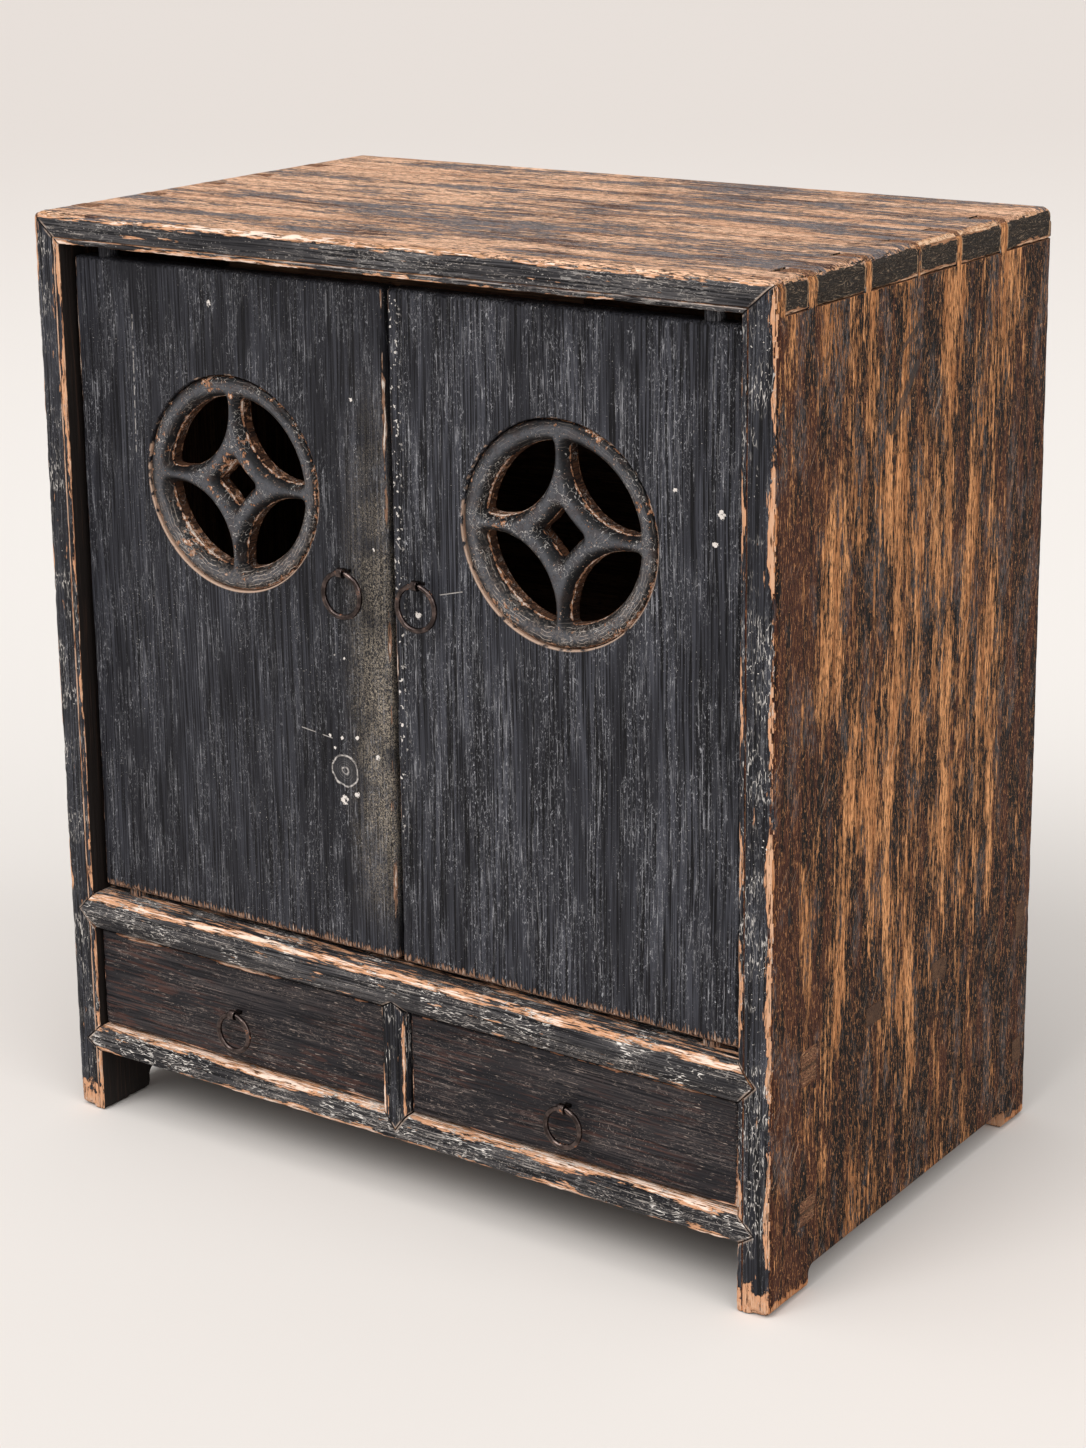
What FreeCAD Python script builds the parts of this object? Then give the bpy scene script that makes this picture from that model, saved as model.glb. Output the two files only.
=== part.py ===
"""A kang cabinet: two pivoting doors over two drawers, in a dovetailed board case on four short feet.

Frame: +X to the right as seen from the front, +Y to the back, +Z up, millimetres.
The origin is the middle of the whole outline on the floor.
"""

import FreeCAD, Part
import math
import os

# Case
case_width = 624.0
case_depth = 388.0
case_height = 700.0
side_thickness = 26.0
top_thickness = 23.0
upright_arris = 6.0
top_arris = 5.0
inner_arris = 1.8
bead_width = 5.0
bead_groove_width = 1.6
bead_groove_depth = 1.2
mitre_depth = 9.0

# Feet, cut from the side boards
front_foot_length = 53.0
back_foot_length = 36.0
foot_height = 17.5
foot_rounding = 7.0
sole_rounding = 2.5

# Dovetails of the top into the sides
tail_splay = 4.5
tail_start_shares = (0.026, 0.128, 0.308, 0.481, 0.632, 0.810)
tail_end_shares = (0.101, 0.290, 0.472, 0.616, 0.785, 1.0)

# Front rails and the stile between the drawers
rail_depth = 64.0
bottom_rail_clear = 49.0
bottom_rail_height = 22.0
bottom_rail_arris = 3.0
drawer_opening_height = 80.0
middle_rail_height = 29.0
middle_rail_bulge = 2.0
middle_rail_lip = 2.0
rail_point_reach = 13.5
bottom_point_share = 0.42
centre_stile_width = 20.0
centre_stile_depth = 28.0
stile_point_drop = 13.0
stile_point_rise = 6.0
stub_length = 9.0
stub_thickness = 9.0

# Through tenons, with a wedge driven into each end
rail_tenon_setback = 41.0
rail_tenon_width = 20.0
tenon_shoulder = 1.5
floor_tenon_width = 21.0
floor_tenon_place_shares = (0.36, 0.61)
back_tenon_width = 14.0
wedge_length = 15.0
wedge_thick_end = 2.0
wedge_thin_end = 0.8

# Cabinet floor, back rails and back boards
floor_thickness = 14.0
floor_drop = 2.0
floor_tongue_thickness = 6.0
floor_tongue_length = 7.0
back_rail_depth = 22.0
back_rebate_width = 12.0
back_rebate_rise = 10.0
back_board_thickness = 8.0
back_board_set_in = 1.0
back_board_share_edges = (0.0, 0.36, 0.69, 1.0)
back_board_lap = 8.0
back_nail_inset = 6.0
back_nail_spread = 45.0
nail_radius = 1.2
nail_head_radius = 3.2
nail_length = 16.0

# Drawer runners and guide
runner_width = 20.0
runner_height = 17.0
centre_runner_width = 60.0
guide_height = 14.0

# Doors
door_recess = 11.0
door_thickness = 18.0
door_gap_to_stile = 3.0
door_gap_between = 3.5
door_gap_below = 4.0
door_gap_above = 8.0
door_front_rounding = 4.0
door_back_rounding = 1.5
pivot_inset = 27.0
pivot_radius = 7.0
pivot_clearance = 0.08
pivot_seat_gap = 0.3
bottom_pivot_engagement = 6.0
top_pivot_engagement = 14.0
door_stop_length = 300.0
door_stop_drop = 16.0
door_stop_thickness = 12.0
door_stop_gap = 0.3

# Battens in the backs of the doors
batten_height = 26.0
batten_let_in = 5.0
batten_proud = 8.0
batten_dovetail = 2.0
batten_end_margin = 15.0
lower_batten_place = 66.0
upper_batten_place = 38.0

# Pierced medallions, one in each door
medallion_radius = 78.0
medallion_band = 16.0
medallion_fit_gap = 0.25
medallion_drop = 153.0
medallion_off_middle = 2.375
medallion_rim_rounding = 3.0
medallion_hole_rounding = 1.5
rib_root = 13.0
rib_sag = 19.9
rib_rounding = 5.0
petal_count = 4
petal_corner_rounding = 2.0
eye_corner = 17.5
eye_sag = 0.8
eye_corner_rounding = 1.5

# Ring pulls on their staples
ring_wire = 4.2
door_ring_diameter = 36.0
drawer_ring_diameter = 32.5
strap_width = 5.0
strap_thickness = 1.3
eye_clearance = 0.5
eye_standoff = 7.5
clinch_length = 11.0
left_door_pull_inset = 35.5
right_door_pull_inset = 25.5
door_pull_height = 283.0
drawer_pull_height = 41.0

# Drawers
drawer_recess = 5.5
drawer_gap = 1.5
drawer_gap_below = 1.3
drawer_front_thickness = 18.0
drawer_front_rounding = 2.5
drawer_space_behind = 16.5
drawer_side_thickness = 10.0
drawer_side_lap = 10.0
drawer_side_drop = 3.5
drawer_back_thickness = 9.0
drawer_back_drop = 6.0
drawer_bottom_thickness = 6.0
drawer_bottom_rise = 6.0
drawer_groove_depth = 4.0
running_gap = 0.3
peg_radius = 1.6
peg_length = 20.0
front_peg_height_shares = (0.34, 0.82)
back_peg_height_shares = (0.4, 0.8)

# Cuts run past the surface by this much
overrun = 2.0
same_place = 0.001

# Places that follow from the sizes above
eye_radius = ring_wire / 2 + eye_clearance
loop_radius = eye_radius + strap_thickness
pull_proud = eye_standoff + loop_radius - drawer_recess
front = (pull_proud - case_depth) / 2
back = front + case_depth
half = case_width / 2
opening = half - side_thickness
under_top = case_height - top_thickness
bottom_rail_top = bottom_rail_clear + bottom_rail_height
middle_rail_under = bottom_rail_top + drawer_opening_height
middle_rail_top = middle_rail_under + middle_rail_height
rail_back = front + rail_depth
floor_top = middle_rail_top - floor_drop
floor_under = floor_top - floor_thickness
back_rebate_depth = back_board_thickness + back_board_set_in
back_inner = back - back_rebate_depth
back_rail_front = back_inner - back_rail_depth
door_face = front + door_recess
door_rear = door_face + door_thickness
door_middle = (door_face + door_rear) / 2
door_bottom = middle_rail_top + door_gap_below
door_top = under_top - door_gap_above
door_outer = opening - door_gap_to_stile
door_inner = door_gap_between / 2
pivot_place = door_outer - pivot_inset
medallion_place = (door_inner + door_outer) / 2 - medallion_off_middle
medallion_height = door_top - medallion_drop
drawer_face = front + drawer_recess
drawer_front_rear = drawer_face + drawer_front_thickness
drawer_rear = back_rail_front - drawer_space_behind
drawer_outer = opening - drawer_gap
drawer_inner = centre_stile_width / 2 + drawer_gap
drawer_middle = (drawer_outer + drawer_inner) / 2
drawer_bottom_edge = bottom_rail_top + drawer_gap_below
drawer_top_edge = middle_rail_under - drawer_gap
drawer_side_under = bottom_rail_top + running_gap
drawer_side_top = drawer_top_edge - drawer_side_drop
drawer_panel_under = drawer_side_under + drawer_bottom_rise
drawer_panel_top = drawer_panel_under + drawer_bottom_thickness


def at(x, y, z):
    return FreeCAD.Vector(x, y, z)


def block(x_span, y_span, z_span):
    """A box between two places along each axis, given in any order."""
    x0, x1 = sorted(x_span)
    y0, y1 = sorted(y_span)
    z0, z1 = sorted(z_span)
    return Part.makeBox(x1 - x0, y1 - y0, z1 - z0, at(x0, y0, z0))


def prism(points, direction):
    """A flat outline pushed along a direction."""
    return Part.Face(Part.makePolygon(points + points[:1])).extrude(direction)


def front_prism(outline, y_span):
    """An outline of (x, z) points pushed from one y to another."""
    start, end = y_span
    return prism([at(x, start, z) for x, z in outline], at(0, end - start, 0))


def side_prism(outline, x_span):
    """An outline of (y, z) points pushed from one x to another."""
    start, end = x_span
    return prism([at(start, y, z) for y, z in outline], at(end - start, 0, 0))


def plan_prism(outline, z_span):
    """An outline of (x, y) points pushed from one z to another."""
    start, end = z_span
    return prism([at(x, y, start) for x, y in outline], at(0, 0, end - start))


def mirrored(shape):
    """The same piece for the other side of the cabinet."""
    return shape.mirror(at(0, 0, 0), at(1, 0, 0))


def both_sides(shape):
    return [shape, mirrored(shape)]


def joined(first, *others):
    return first.fuse(list(others)).removeSplitter()


def cut(shape, *tools):
    return shape.cut(list(tools))


def edges_where(shape, test):
    return [e for e in shape.Edges if all(test(v.Point) for v in e.Vertexes)]


def near(value, place):
    return abs(value - place) < same_place


def rounded(shape, radius, test):
    """The shape with the edges rounded whose ends all pass the test."""
    return shape.makeFillet(radius, edges_where(shape, test))


def arc(start, middle, end):
    return Part.Arc(start, middle, end).toShape()


def outline_solid(edges, direction):
    return Part.Face(Part.Wire(edges)).extrude(direction)


def v_groove_upright(x, z_span):
    """The groove that sets off a bead, along an upright front edge."""
    half_width = bead_groove_width / 2
    outline = [
        (x - half_width, front),
        (x, front + bead_groove_depth),
        (x + half_width, front),
        (x, front - overrun),
    ]
    return plan_prism(outline, z_span)


def v_groove_level(z, x_span):
    """The groove that sets off a bead, along a level front edge."""
    half_width = bead_groove_width / 2
    outline = [
        (front, z - half_width),
        (front + bead_groove_depth, z),
        (front, z + half_width),
        (front - overrun, z),
    ]
    return side_prism(outline, x_span)


def outer_envelope():
    """The outside of the case with its worn arrises, shared by the top and both sides."""
    body = block((-half, half), (front, back), (0, case_height))
    uprights = [e for e in body.Edges if not near(e.Vertexes[0].Z, e.Vertexes[1].Z)]
    body = body.makeFillet(upright_arris, uprights)
    return rounded(body, top_arris, lambda p: near(p.z, case_height))


def dovetail_tails():
    """The tails at the right end of the top board, wider at the outer face."""
    tails = []
    for start_share, end_share in zip(tail_start_shares, tail_end_shares):
        start = front + case_depth * start_share
        end = front + case_depth * end_share
        last = near(end, back)
        inner_end = end if last else end - tail_splay
        outline = [(opening, start + tail_splay), (half, start), (half, end), (opening, inner_end)]
        tails.append(plan_prism(outline, (under_top, case_height)))
    return tails


def corner_mitre():
    """The mitred front of the top board where it meets the right stile."""
    outline = [(opening, under_top), (half, case_height), (opening, case_height)]
    start_share = tail_start_shares[0]
    return front_prism(outline, (front, front + case_depth * start_share))


def back_panel_space():
    """The rebate that takes the back boards."""
    width = opening + back_rebate_width
    heights = (bottom_rail_clear, under_top + back_rebate_rise)
    return block((-width, width), (back_inner, back + overrun), heights)


def pivot_hole(height, depth):
    radius = pivot_radius + pivot_clearance
    return Part.makeCylinder(radius, depth, at(pivot_place, door_middle, height))


def rail_tenon(low, high, setback, width):
    """A tenon through the right side board, cut from a rail between two heights."""
    y_span = (front + setback, front + setback + width)
    return block((opening, half), y_span, (low + tenon_shoulder, high - tenon_shoulder))


def floor_tenon(y):
    """A tenon of the cabinet floor through the right side board, centred on this y."""
    y_span = (y - floor_tenon_width / 2, y + floor_tenon_width / 2)
    return block((opening, half), y_span, (floor_under, floor_top))


def through_tenons():
    """The tenons that show on the right side board, by the piece that they belong to."""
    back_setback = back_rail_front - front + (back_rail_depth - back_tenon_width) / 2
    at_front = (rail_tenon_setback, rail_tenon_width)
    at_back = (back_setback, back_tenon_width)
    floor_tenons = [floor_tenon(front + case_depth * share) for share in floor_tenon_place_shares]
    return {
        "middle_rail": [rail_tenon(middle_rail_under, middle_rail_top, *at_front)],
        "bottom_rail": [rail_tenon(bottom_rail_clear, bottom_rail_top, *at_front)],
        "cabinet_floor": floor_tenons,
        "middle_back_rail": [rail_tenon(middle_rail_under, middle_rail_top, *at_back)],
        "bottom_back_rail": [rail_tenon(bottom_rail_clear, bottom_rail_top, *at_back)],
    }


def wedge_in(tenon):
    """The wedge in the middle of a tenon's end, thick at the outer face."""
    box = tenon.BoundBox
    middle = (box.ZMin + box.ZMax) / 2
    thick = wedge_thick_end / 2
    thin = wedge_thin_end / 2
    outline = [
        (half, middle - thick),
        (half, middle + thick),
        (half - wedge_length, middle + thin),
        (half - wedge_length, middle - thin),
    ]
    return front_prism(outline, (box.YMin, box.YMax))


def tenons_of(name):
    """The tenons of one piece at both ends, each with the kerf for its wedge."""
    right = [cut(t, wedge_in(t)) for t in through_tenons()[name]]
    return right + [mirrored(t) for t in right]


def tenon_wedges():
    right = [wedge_in(t) for tenons in through_tenons().values() for t in tenons]
    return right + [mirrored(w) for w in right]


def rail_outline(low, high, point):
    """A rail's face with its pointed, mitred ends."""
    reach = opening + rail_point_reach
    return [
        (-opening, low),
        (opening, low),
        (reach, point),
        (opening, high),
        (-opening, high),
        (-reach, point),
    ]


def middle_rail_points(y_span):
    point = (middle_rail_under + middle_rail_top) / 2
    return front_prism(rail_outline(middle_rail_under, middle_rail_top, point), y_span)


def bottom_rail_points(y_span):
    point = bottom_rail_clear + bottom_rail_height * bottom_point_share
    return front_prism(rail_outline(bottom_rail_clear, bottom_rail_top, point), y_span)


def stile_lower_point(y_span):
    half_width = centre_stile_width / 2
    outline = [
        (-half_width, bottom_rail_top),
        (0, bottom_rail_top - stile_point_drop),
        (half_width, bottom_rail_top),
    ]
    return front_prism(outline, y_span)


def stile_upper_point(y_span):
    half_width = centre_stile_width / 2
    outline = [
        (-half_width, middle_rail_under),
        (0, middle_rail_under + stile_point_rise),
        (half_width, middle_rail_under),
    ]
    return front_prism(outline, y_span)


def stile_stubs():
    """The hidden tenons at the two ends of the stile between the drawers."""
    half_width = centre_stile_width / 2 - tenon_shoulder
    stub_rear = front + centre_stile_depth - tenon_shoulder
    y_span = (stub_rear - stub_thickness, stub_rear)
    x_span = (-half_width, half_width)
    lower = block(x_span, y_span, (bottom_rail_top - stub_length, bottom_rail_top))
    upper = block(x_span, y_span, (middle_rail_under, middle_rail_under + stub_length))
    return [lower, upper]


def runner_stubs(x_span):
    """The hidden tenons that hold a runner between the bottom rails."""
    x0, x1 = sorted(x_span)
    sides = (x0 + tenon_shoulder, x1 - tenon_shoulder)
    runner_under = bottom_rail_top - runner_height
    heights = (runner_under + tenon_shoulder, bottom_rail_top - tenon_shoulder - tenon_shoulder)
    return [
        block(sides, (rail_back - stub_length, rail_back), heights),
        block(sides, (back_rail_front, back_rail_front + stub_length), heights),
    ]


def runner(x_span):
    bar = block(x_span, (rail_back, back_rail_front), (bottom_rail_top - runner_height, bottom_rail_top))
    return joined(bar, *runner_stubs(x_span))


def side_runner_span():
    return (opening - runner_width, opening)


def centre_runner_span():
    return (-centre_runner_width / 2, centre_runner_width / 2)


def all_runner_stubs():
    right = runner_stubs(side_runner_span())
    return right + [mirrored(s) for s in right] + runner_stubs(centre_runner_span())


def floor_tongues():
    """The tongues along the front and back edges of the cabinet floor."""
    low = floor_under + (floor_thickness - floor_tongue_thickness) / 2
    heights = (low, low + floor_tongue_thickness)
    return [
        block((-opening, opening), (rail_back - floor_tongue_length, rail_back), heights),
        block((-opening, opening), (back_rail_front, back_rail_front + floor_tongue_length), heights),
    ]


def side_board():
    """The right side board: stile, side and feet in one, with the pins for the top."""
    board = block((opening, half), (front, back), (0, case_height))
    board = rounded(board, inner_arris, lambda p: near(p.x, opening) and near(p.y, front))
    board = cut(board, *dovetail_tails(), corner_mitre(), side_foot_gap(), back_panel_space())
    board = cut(board, *[t for tenons in through_tenons().values() for t in tenons], *back_nails())
    past_front = (front - overrun, front + mitre_depth)
    board = cut(board, middle_rail_points(past_front), bottom_rail_points(past_front))
    board = cut(board, v_groove_upright(opening + bead_width, (-overrun, case_height)))
    board = board.common(outer_envelope())
    return rounded(board, sole_rounding, lambda p: near(p.z, 0))


def side_foot_gap():
    """The space between the two feet, rounded where it meets them."""
    y0 = front + front_foot_length
    y1 = back - back_foot_length
    bend = foot_rounding
    knee = foot_rounding * (1 - math.sqrt(0.5))
    spring = foot_height - bend
    crown = foot_height
    x = opening - overrun
    edges = [
        Part.LineSegment(at(x, y0, -overrun), at(x, y0, spring)).toShape(),
        arc(at(x, y0, spring), at(x, y0 + knee, crown - knee), at(x, y0 + bend, crown)),
        Part.LineSegment(at(x, y0 + bend, crown), at(x, y1 - bend, crown)).toShape(),
        arc(at(x, y1 - bend, crown), at(x, y1 - knee, crown - knee), at(x, y1, spring)),
        Part.LineSegment(at(x, y1, spring), at(x, y1, -overrun)).toShape(),
        Part.LineSegment(at(x, y1, -overrun), at(x, y0, -overrun)).toShape(),
    ]
    return outline_solid(edges, at(side_thickness + overrun + overrun, 0, 0))


def top_board():
    """The top with its tails, the front bead, the rebate for the back and the two pivot holes."""
    board = block((-opening, opening), (front, back), (under_top, case_height))
    board = rounded(board, inner_arris, lambda p: near(p.z, under_top) and near(p.y, front))
    ends = [*dovetail_tails(), corner_mitre()]
    board = joined(board, *ends, *[mirrored(e) for e in ends])
    hole = pivot_hole(under_top - overrun, top_pivot_engagement + pivot_seat_gap + overrun)
    board = cut(board, hole, mirrored(hole), back_panel_space())
    board = cut(board, v_groove_level(under_top + bead_width, (-half, half)))
    return board.common(outer_envelope())


def middle_rail_bar(x_reach):
    """The rounded front rail under the doors, as a plain bar."""
    middle = (middle_rail_under + middle_rail_top) / 2
    lip = front + middle_rail_lip
    low = at(-x_reach, lip, middle_rail_under)
    high = at(-x_reach, lip, middle_rail_top)
    rear_high = at(-x_reach, rail_back, middle_rail_top)
    rear_low = at(-x_reach, rail_back, middle_rail_under)
    edges = [
        arc(low, at(-x_reach, front - middle_rail_bulge, middle), high),
        Part.LineSegment(high, rear_high).toShape(),
        Part.LineSegment(rear_high, rear_low).toShape(),
        Part.LineSegment(rear_low, low).toShape(),
    ]
    return outline_solid(edges, at(x_reach + x_reach, 0, 0))


def middle_rail():
    points = middle_rail_points((front - middle_rail_bulge - overrun, front + mitre_depth))
    points = points.common(middle_rail_bar(opening + rail_point_reach))
    rail = joined(middle_rail_bar(opening), points, *tenons_of("middle_rail"))
    seat = pivot_hole(middle_rail_top - bottom_pivot_engagement - pivot_seat_gap, case_height)
    upper_point = stile_upper_point((front - middle_rail_bulge - overrun, front + mitre_depth))
    return cut(rail, seat, mirrored(seat), upper_point, *stile_stubs(), *floor_tongues())


def bottom_rail_bar(x_reach):
    """The front rail under the drawers, as a plain bar with its upper arris worn round."""
    bar = block((-x_reach, x_reach), (front, rail_back), (bottom_rail_clear, bottom_rail_top))
    return rounded(bar, bottom_rail_arris, lambda p: near(p.y, front) and near(p.z, bottom_rail_top))


def bottom_rail():
    points = bottom_rail_points((front, front + mitre_depth))
    points = points.common(bottom_rail_bar(opening + rail_point_reach))
    rail = joined(bottom_rail_bar(opening), points, *tenons_of("bottom_rail"))
    groove = v_groove_level(bottom_rail_top - bead_width, (-half, half))
    point = stile_lower_point((front - overrun, front + mitre_depth))
    return cut(rail, groove, point, *stile_stubs(), *all_runner_stubs())


def centre_stile():
    """The short stile between the drawers, beaded on both edges and pointed at both ends."""
    half_width = centre_stile_width / 2
    y_span = (front, front + centre_stile_depth)
    body = block((-half_width, half_width), y_span, (bottom_rail_top, middle_rail_under))
    point_span = (front, front + mitre_depth)
    stile = joined(body, stile_lower_point(point_span), stile_upper_point(point_span), *stile_stubs())
    bead_line = half_width - bead_width
    grooves = both_sides(v_groove_upright(bead_line, (bottom_rail_clear, middle_rail_top)))
    return cut(stile, *grooves)


def cabinet_floor():
    board = block((-opening, opening), (rail_back, back_rail_front), (floor_under, floor_top))
    return joined(board, *floor_tongues(), *tenons_of("cabinet_floor"))


def back_rail(low, high, name):
    bar = block((-opening, opening), (back_rail_front, back_inner), (low, high))
    return cut(joined(bar, *tenons_of(name)), *floor_tongues(), *all_runner_stubs())


def back_board(low_share, high_share):
    """One board of the back, half lapped over its neighbours."""
    width = opening + back_rebate_width
    low_limit = bottom_rail_clear
    high_limit = under_top + back_rebate_rise
    low = low_limit + (high_limit - low_limit) * low_share
    high = low_limit + (high_limit - low_limit) * high_share
    rear = back_inner + back_board_thickness
    middle = back_inner + back_board_thickness / 2
    board = block((-width, width), (back_inner, rear), (low, high))
    if not near(high, high_limit):
        upper_lap = block((-width, width), (back_inner, middle), (high, high + back_board_lap))
        board = joined(board, upper_lap)
    if not near(low, low_limit):
        lower_lap = block((-width, width), (back_inner, middle), (low, low + back_board_lap))
        board = cut(board, lower_lap)
    return cut(board, *back_nails())


def nail(x, z):
    """A nail through the back boards, with its head on their outer face."""
    rear = back_inner + back_board_thickness
    shank = Part.makeCylinder(nail_radius, nail_length, at(x, rear - nail_length, z), at(0, 1, 0))
    head = Part.makeCylinder(nail_head_radius, back_board_set_in, at(x, rear, z), at(0, 1, 0))
    return joined(shank, head)


def back_nails():
    """Two nails at each end of each back board."""
    span = under_top + back_rebate_rise - bottom_rail_clear
    place = opening + back_nail_inset
    heights = []
    for low_share, high_share in zip(back_board_share_edges, back_board_share_edges[1:]):
        middle = bottom_rail_clear + span * (low_share + high_share) / 2
        heights += [middle - back_nail_spread, middle + back_nail_spread]
    return [nail(x, z) for z in heights for x in (-place, place)]


def door_stop():
    """The strip under the top that the closed doors rest against."""
    y0 = door_rear + door_stop_gap
    return block(
        (-door_stop_length / 2, door_stop_length / 2),
        (y0, y0 + door_stop_thickness),
        (under_top - door_stop_drop, under_top),
    )


def batten(height):
    """A dovetailed batten let into the back of the right door, at this height."""
    low = height - batten_height / 2
    high = height + batten_height / 2
    seat = door_rear - batten_let_in
    outline = [
        (seat, low - batten_dovetail),
        (door_rear, low),
        (door_rear + batten_proud, low),
        (door_rear + batten_proud, high),
        (door_rear, high),
        (seat, high + batten_dovetail),
    ]
    return side_prism(outline, (door_inner + batten_end_margin, door_outer - batten_end_margin))


def lower_batten():
    return batten(door_bottom + lower_batten_place)


def upper_batten():
    return batten(door_top - upper_batten_place)


def staple(x, face, board_thickness, height, eye):
    """A strap bent round the ring, passed through the board and clinched behind it."""
    centre = at(x - strap_width / 2, face - eye_standoff, height)
    along = at(1, 0, 0)
    loop = Part.makeCylinder(loop_radius, strap_width, centre, along)
    x_span = (x - strap_width / 2, x + strap_width / 2)
    rear = face + board_thickness
    leg_start = face - eye_standoff + (eye_radius + loop_radius) / 2
    legs = block(x_span, (leg_start, rear), (height - strap_thickness, height + strap_thickness))
    clinch = block(x_span, (rear, rear + strap_thickness), (height - clinch_length, height + clinch_length))
    strap = joined(loop, legs, clinch)
    return cut(strap, Part.makeCylinder(eye, strap_width, centre, along))


def staple_slot(x, face, board_thickness, height):
    """The slot through a board that a staple's two legs fill."""
    x_span = (x - strap_width / 2, x + strap_width / 2)
    z_span = (height - strap_thickness, height + strap_thickness)
    return block(x_span, (face, face + board_thickness), z_span)


def ring(x, face, height, diameter):
    """A ring pull that hangs from its staple."""
    radius = (diameter - ring_wire) / 2
    centre = at(x, face - eye_standoff, height - radius)
    return Part.makeTorus(radius, ring_wire / 2, centre, at(0, 1, 0))


def door_board(pull_x):
    """The right door: one board with its two pivots and the round hole for its medallion."""
    board = block((door_inner, door_outer), (door_face, door_rear), (door_bottom, door_top))
    board = rounded(board, door_front_rounding, lambda p: near(p.y, door_face))
    board = rounded(board, door_back_rounding, lambda p: near(p.y, door_rear))
    lower_length = door_gap_below + bottom_pivot_engagement
    lower_end = at(pivot_place, door_middle, door_bottom - lower_length)
    lower = Part.makeCylinder(pivot_radius, lower_length, lower_end)
    upper_length = door_gap_above + top_pivot_engagement
    upper = Part.makeCylinder(pivot_radius, upper_length, at(pivot_place, door_middle, door_top))
    board = joined(board, lower, upper)
    hole = Part.makeCylinder(
        medallion_radius + medallion_fit_gap,
        door_thickness,
        at(medallion_place, door_face, medallion_height),
        at(0, 1, 0),
    )
    slot = staple_slot(pull_x, door_face, door_thickness, door_bottom + door_pull_height)
    board = cut(board, hole, lower_batten(), upper_batten(), slot)
    hole_radius = medallion_radius + medallion_fit_gap
    rim = [e for e in edges_in_door_face(board) if on_circle(e, hole_radius)]
    return board.makeFillet(medallion_hole_rounding, rim)


def edges_in_door_face(shape):
    return edges_where(shape, lambda p: near(p.y, door_face))


def on_circle(edge, radius):
    return isinstance(edge.Curve, Part.Circle) and near(edge.Curve.Radius, radius)


def on_medallion(x, z):
    return at(medallion_place + x, door_face, medallion_height + z)


def with_round_corners(opening_shape, radius):
    """An opening through the medallion with its corners eased, as a knife leaves them."""
    corners = [e for e in opening_shape.Edges if not near(e.Vertexes[0].Y, e.Vertexes[-1].Y)]
    return opening_shape.makeFillet(radius, corners)


def petal():
    """One of the four lens-shaped openings between the band and the star."""
    inner = medallion_radius - medallion_band
    q = rib_root / 2
    p = math.sqrt(inner * inner - q * q)
    diagonal = inner / math.sqrt(2)
    sagged = (p + q) / 2 - rib_sag / math.sqrt(2)
    edges = [
        arc(on_medallion(p, q), on_medallion(sagged, sagged), on_medallion(q, p)),
        arc(on_medallion(q, p), on_medallion(diagonal, diagonal), on_medallion(p, q)),
    ]
    return with_round_corners(outline_solid(edges, at(0, door_thickness, 0)), petal_corner_rounding)


def centre_eye():
    """The four-cornered opening in the middle of the star."""
    sagged = eye_corner / 2 - eye_sag / math.sqrt(2)
    corners = [(eye_corner, 0), (0, eye_corner), (-eye_corner, 0), (0, -eye_corner)]
    middles = [(sagged, sagged), (-sagged, sagged), (-sagged, -sagged), (sagged, -sagged)]
    edges = []
    for index, middle in enumerate(middles):
        start = on_medallion(*corners[index])
        end = on_medallion(*corners[(index + 1) % len(corners)])
        edges.append(arc(start, on_medallion(*middle), end))
    return with_round_corners(outline_solid(edges, at(0, door_thickness, 0)), eye_corner_rounding)


def medallion():
    """The pierced roundel of the right door: a band and a four-pointed star of rounded ribs."""
    centre = at(medallion_place, door_face, medallion_height)
    disc = Part.makeCylinder(medallion_radius, door_thickness, centre, at(0, 1, 0))
    openings = [centre_eye()]
    for turn in range(petal_count):
        opening_shape = petal()
        opening_shape.rotate(centre, at(0, 1, 0), 360 / petal_count * turn)
        openings.append(opening_shape)
    roundel = cut(disc, *openings)
    pierced = [e for e in edges_in_door_face(roundel) if not on_circle(e, medallion_radius)]
    roundel = roundel.makeFillet(rib_rounding, pierced)
    rim = [e for e in edges_in_door_face(roundel) if on_circle(e, medallion_radius)]
    return roundel.makeFillet(medallion_rim_rounding, rim)


def drawer_pegs():
    """The pegs that pin the right drawer's sides to its front and back."""
    pegs = []
    side_height = drawer_side_top - drawer_side_under
    front_y = drawer_front_rear - drawer_side_lap / 2
    back_y = drawer_rear - drawer_back_thickness / 2
    for y, shares in ((front_y, front_peg_height_shares), (back_y, back_peg_height_shares)):
        for share in shares:
            z = drawer_side_under + side_height * share
            for x in (drawer_inner, drawer_outer - peg_length):
                pegs.append(Part.makeCylinder(peg_radius, peg_length, at(x, y, z), at(1, 0, 0)))
    return pegs


def drawer_bottom():
    """The bottom board, slid into grooves in the sides and the front."""
    inset = drawer_side_thickness - drawer_groove_depth
    return block(
        (drawer_inner + inset, drawer_outer - inset),
        (drawer_front_rear - drawer_groove_depth, drawer_rear),
        (drawer_panel_under, drawer_panel_top),
    )


def drawer_side_space(x_span):
    lap_start = drawer_front_rear - drawer_side_lap
    return block(x_span, (lap_start, drawer_rear), (drawer_side_under, drawer_side_top))


def drawer_side_spans():
    return {
        "outer": (drawer_outer - drawer_side_thickness, drawer_outer),
        "inner": (drawer_inner, drawer_inner + drawer_side_thickness),
    }


def drawer_side(which):
    side = drawer_side_space(drawer_side_spans()[which])
    return cut(side, drawer_bottom(), *drawer_pegs())


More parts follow.
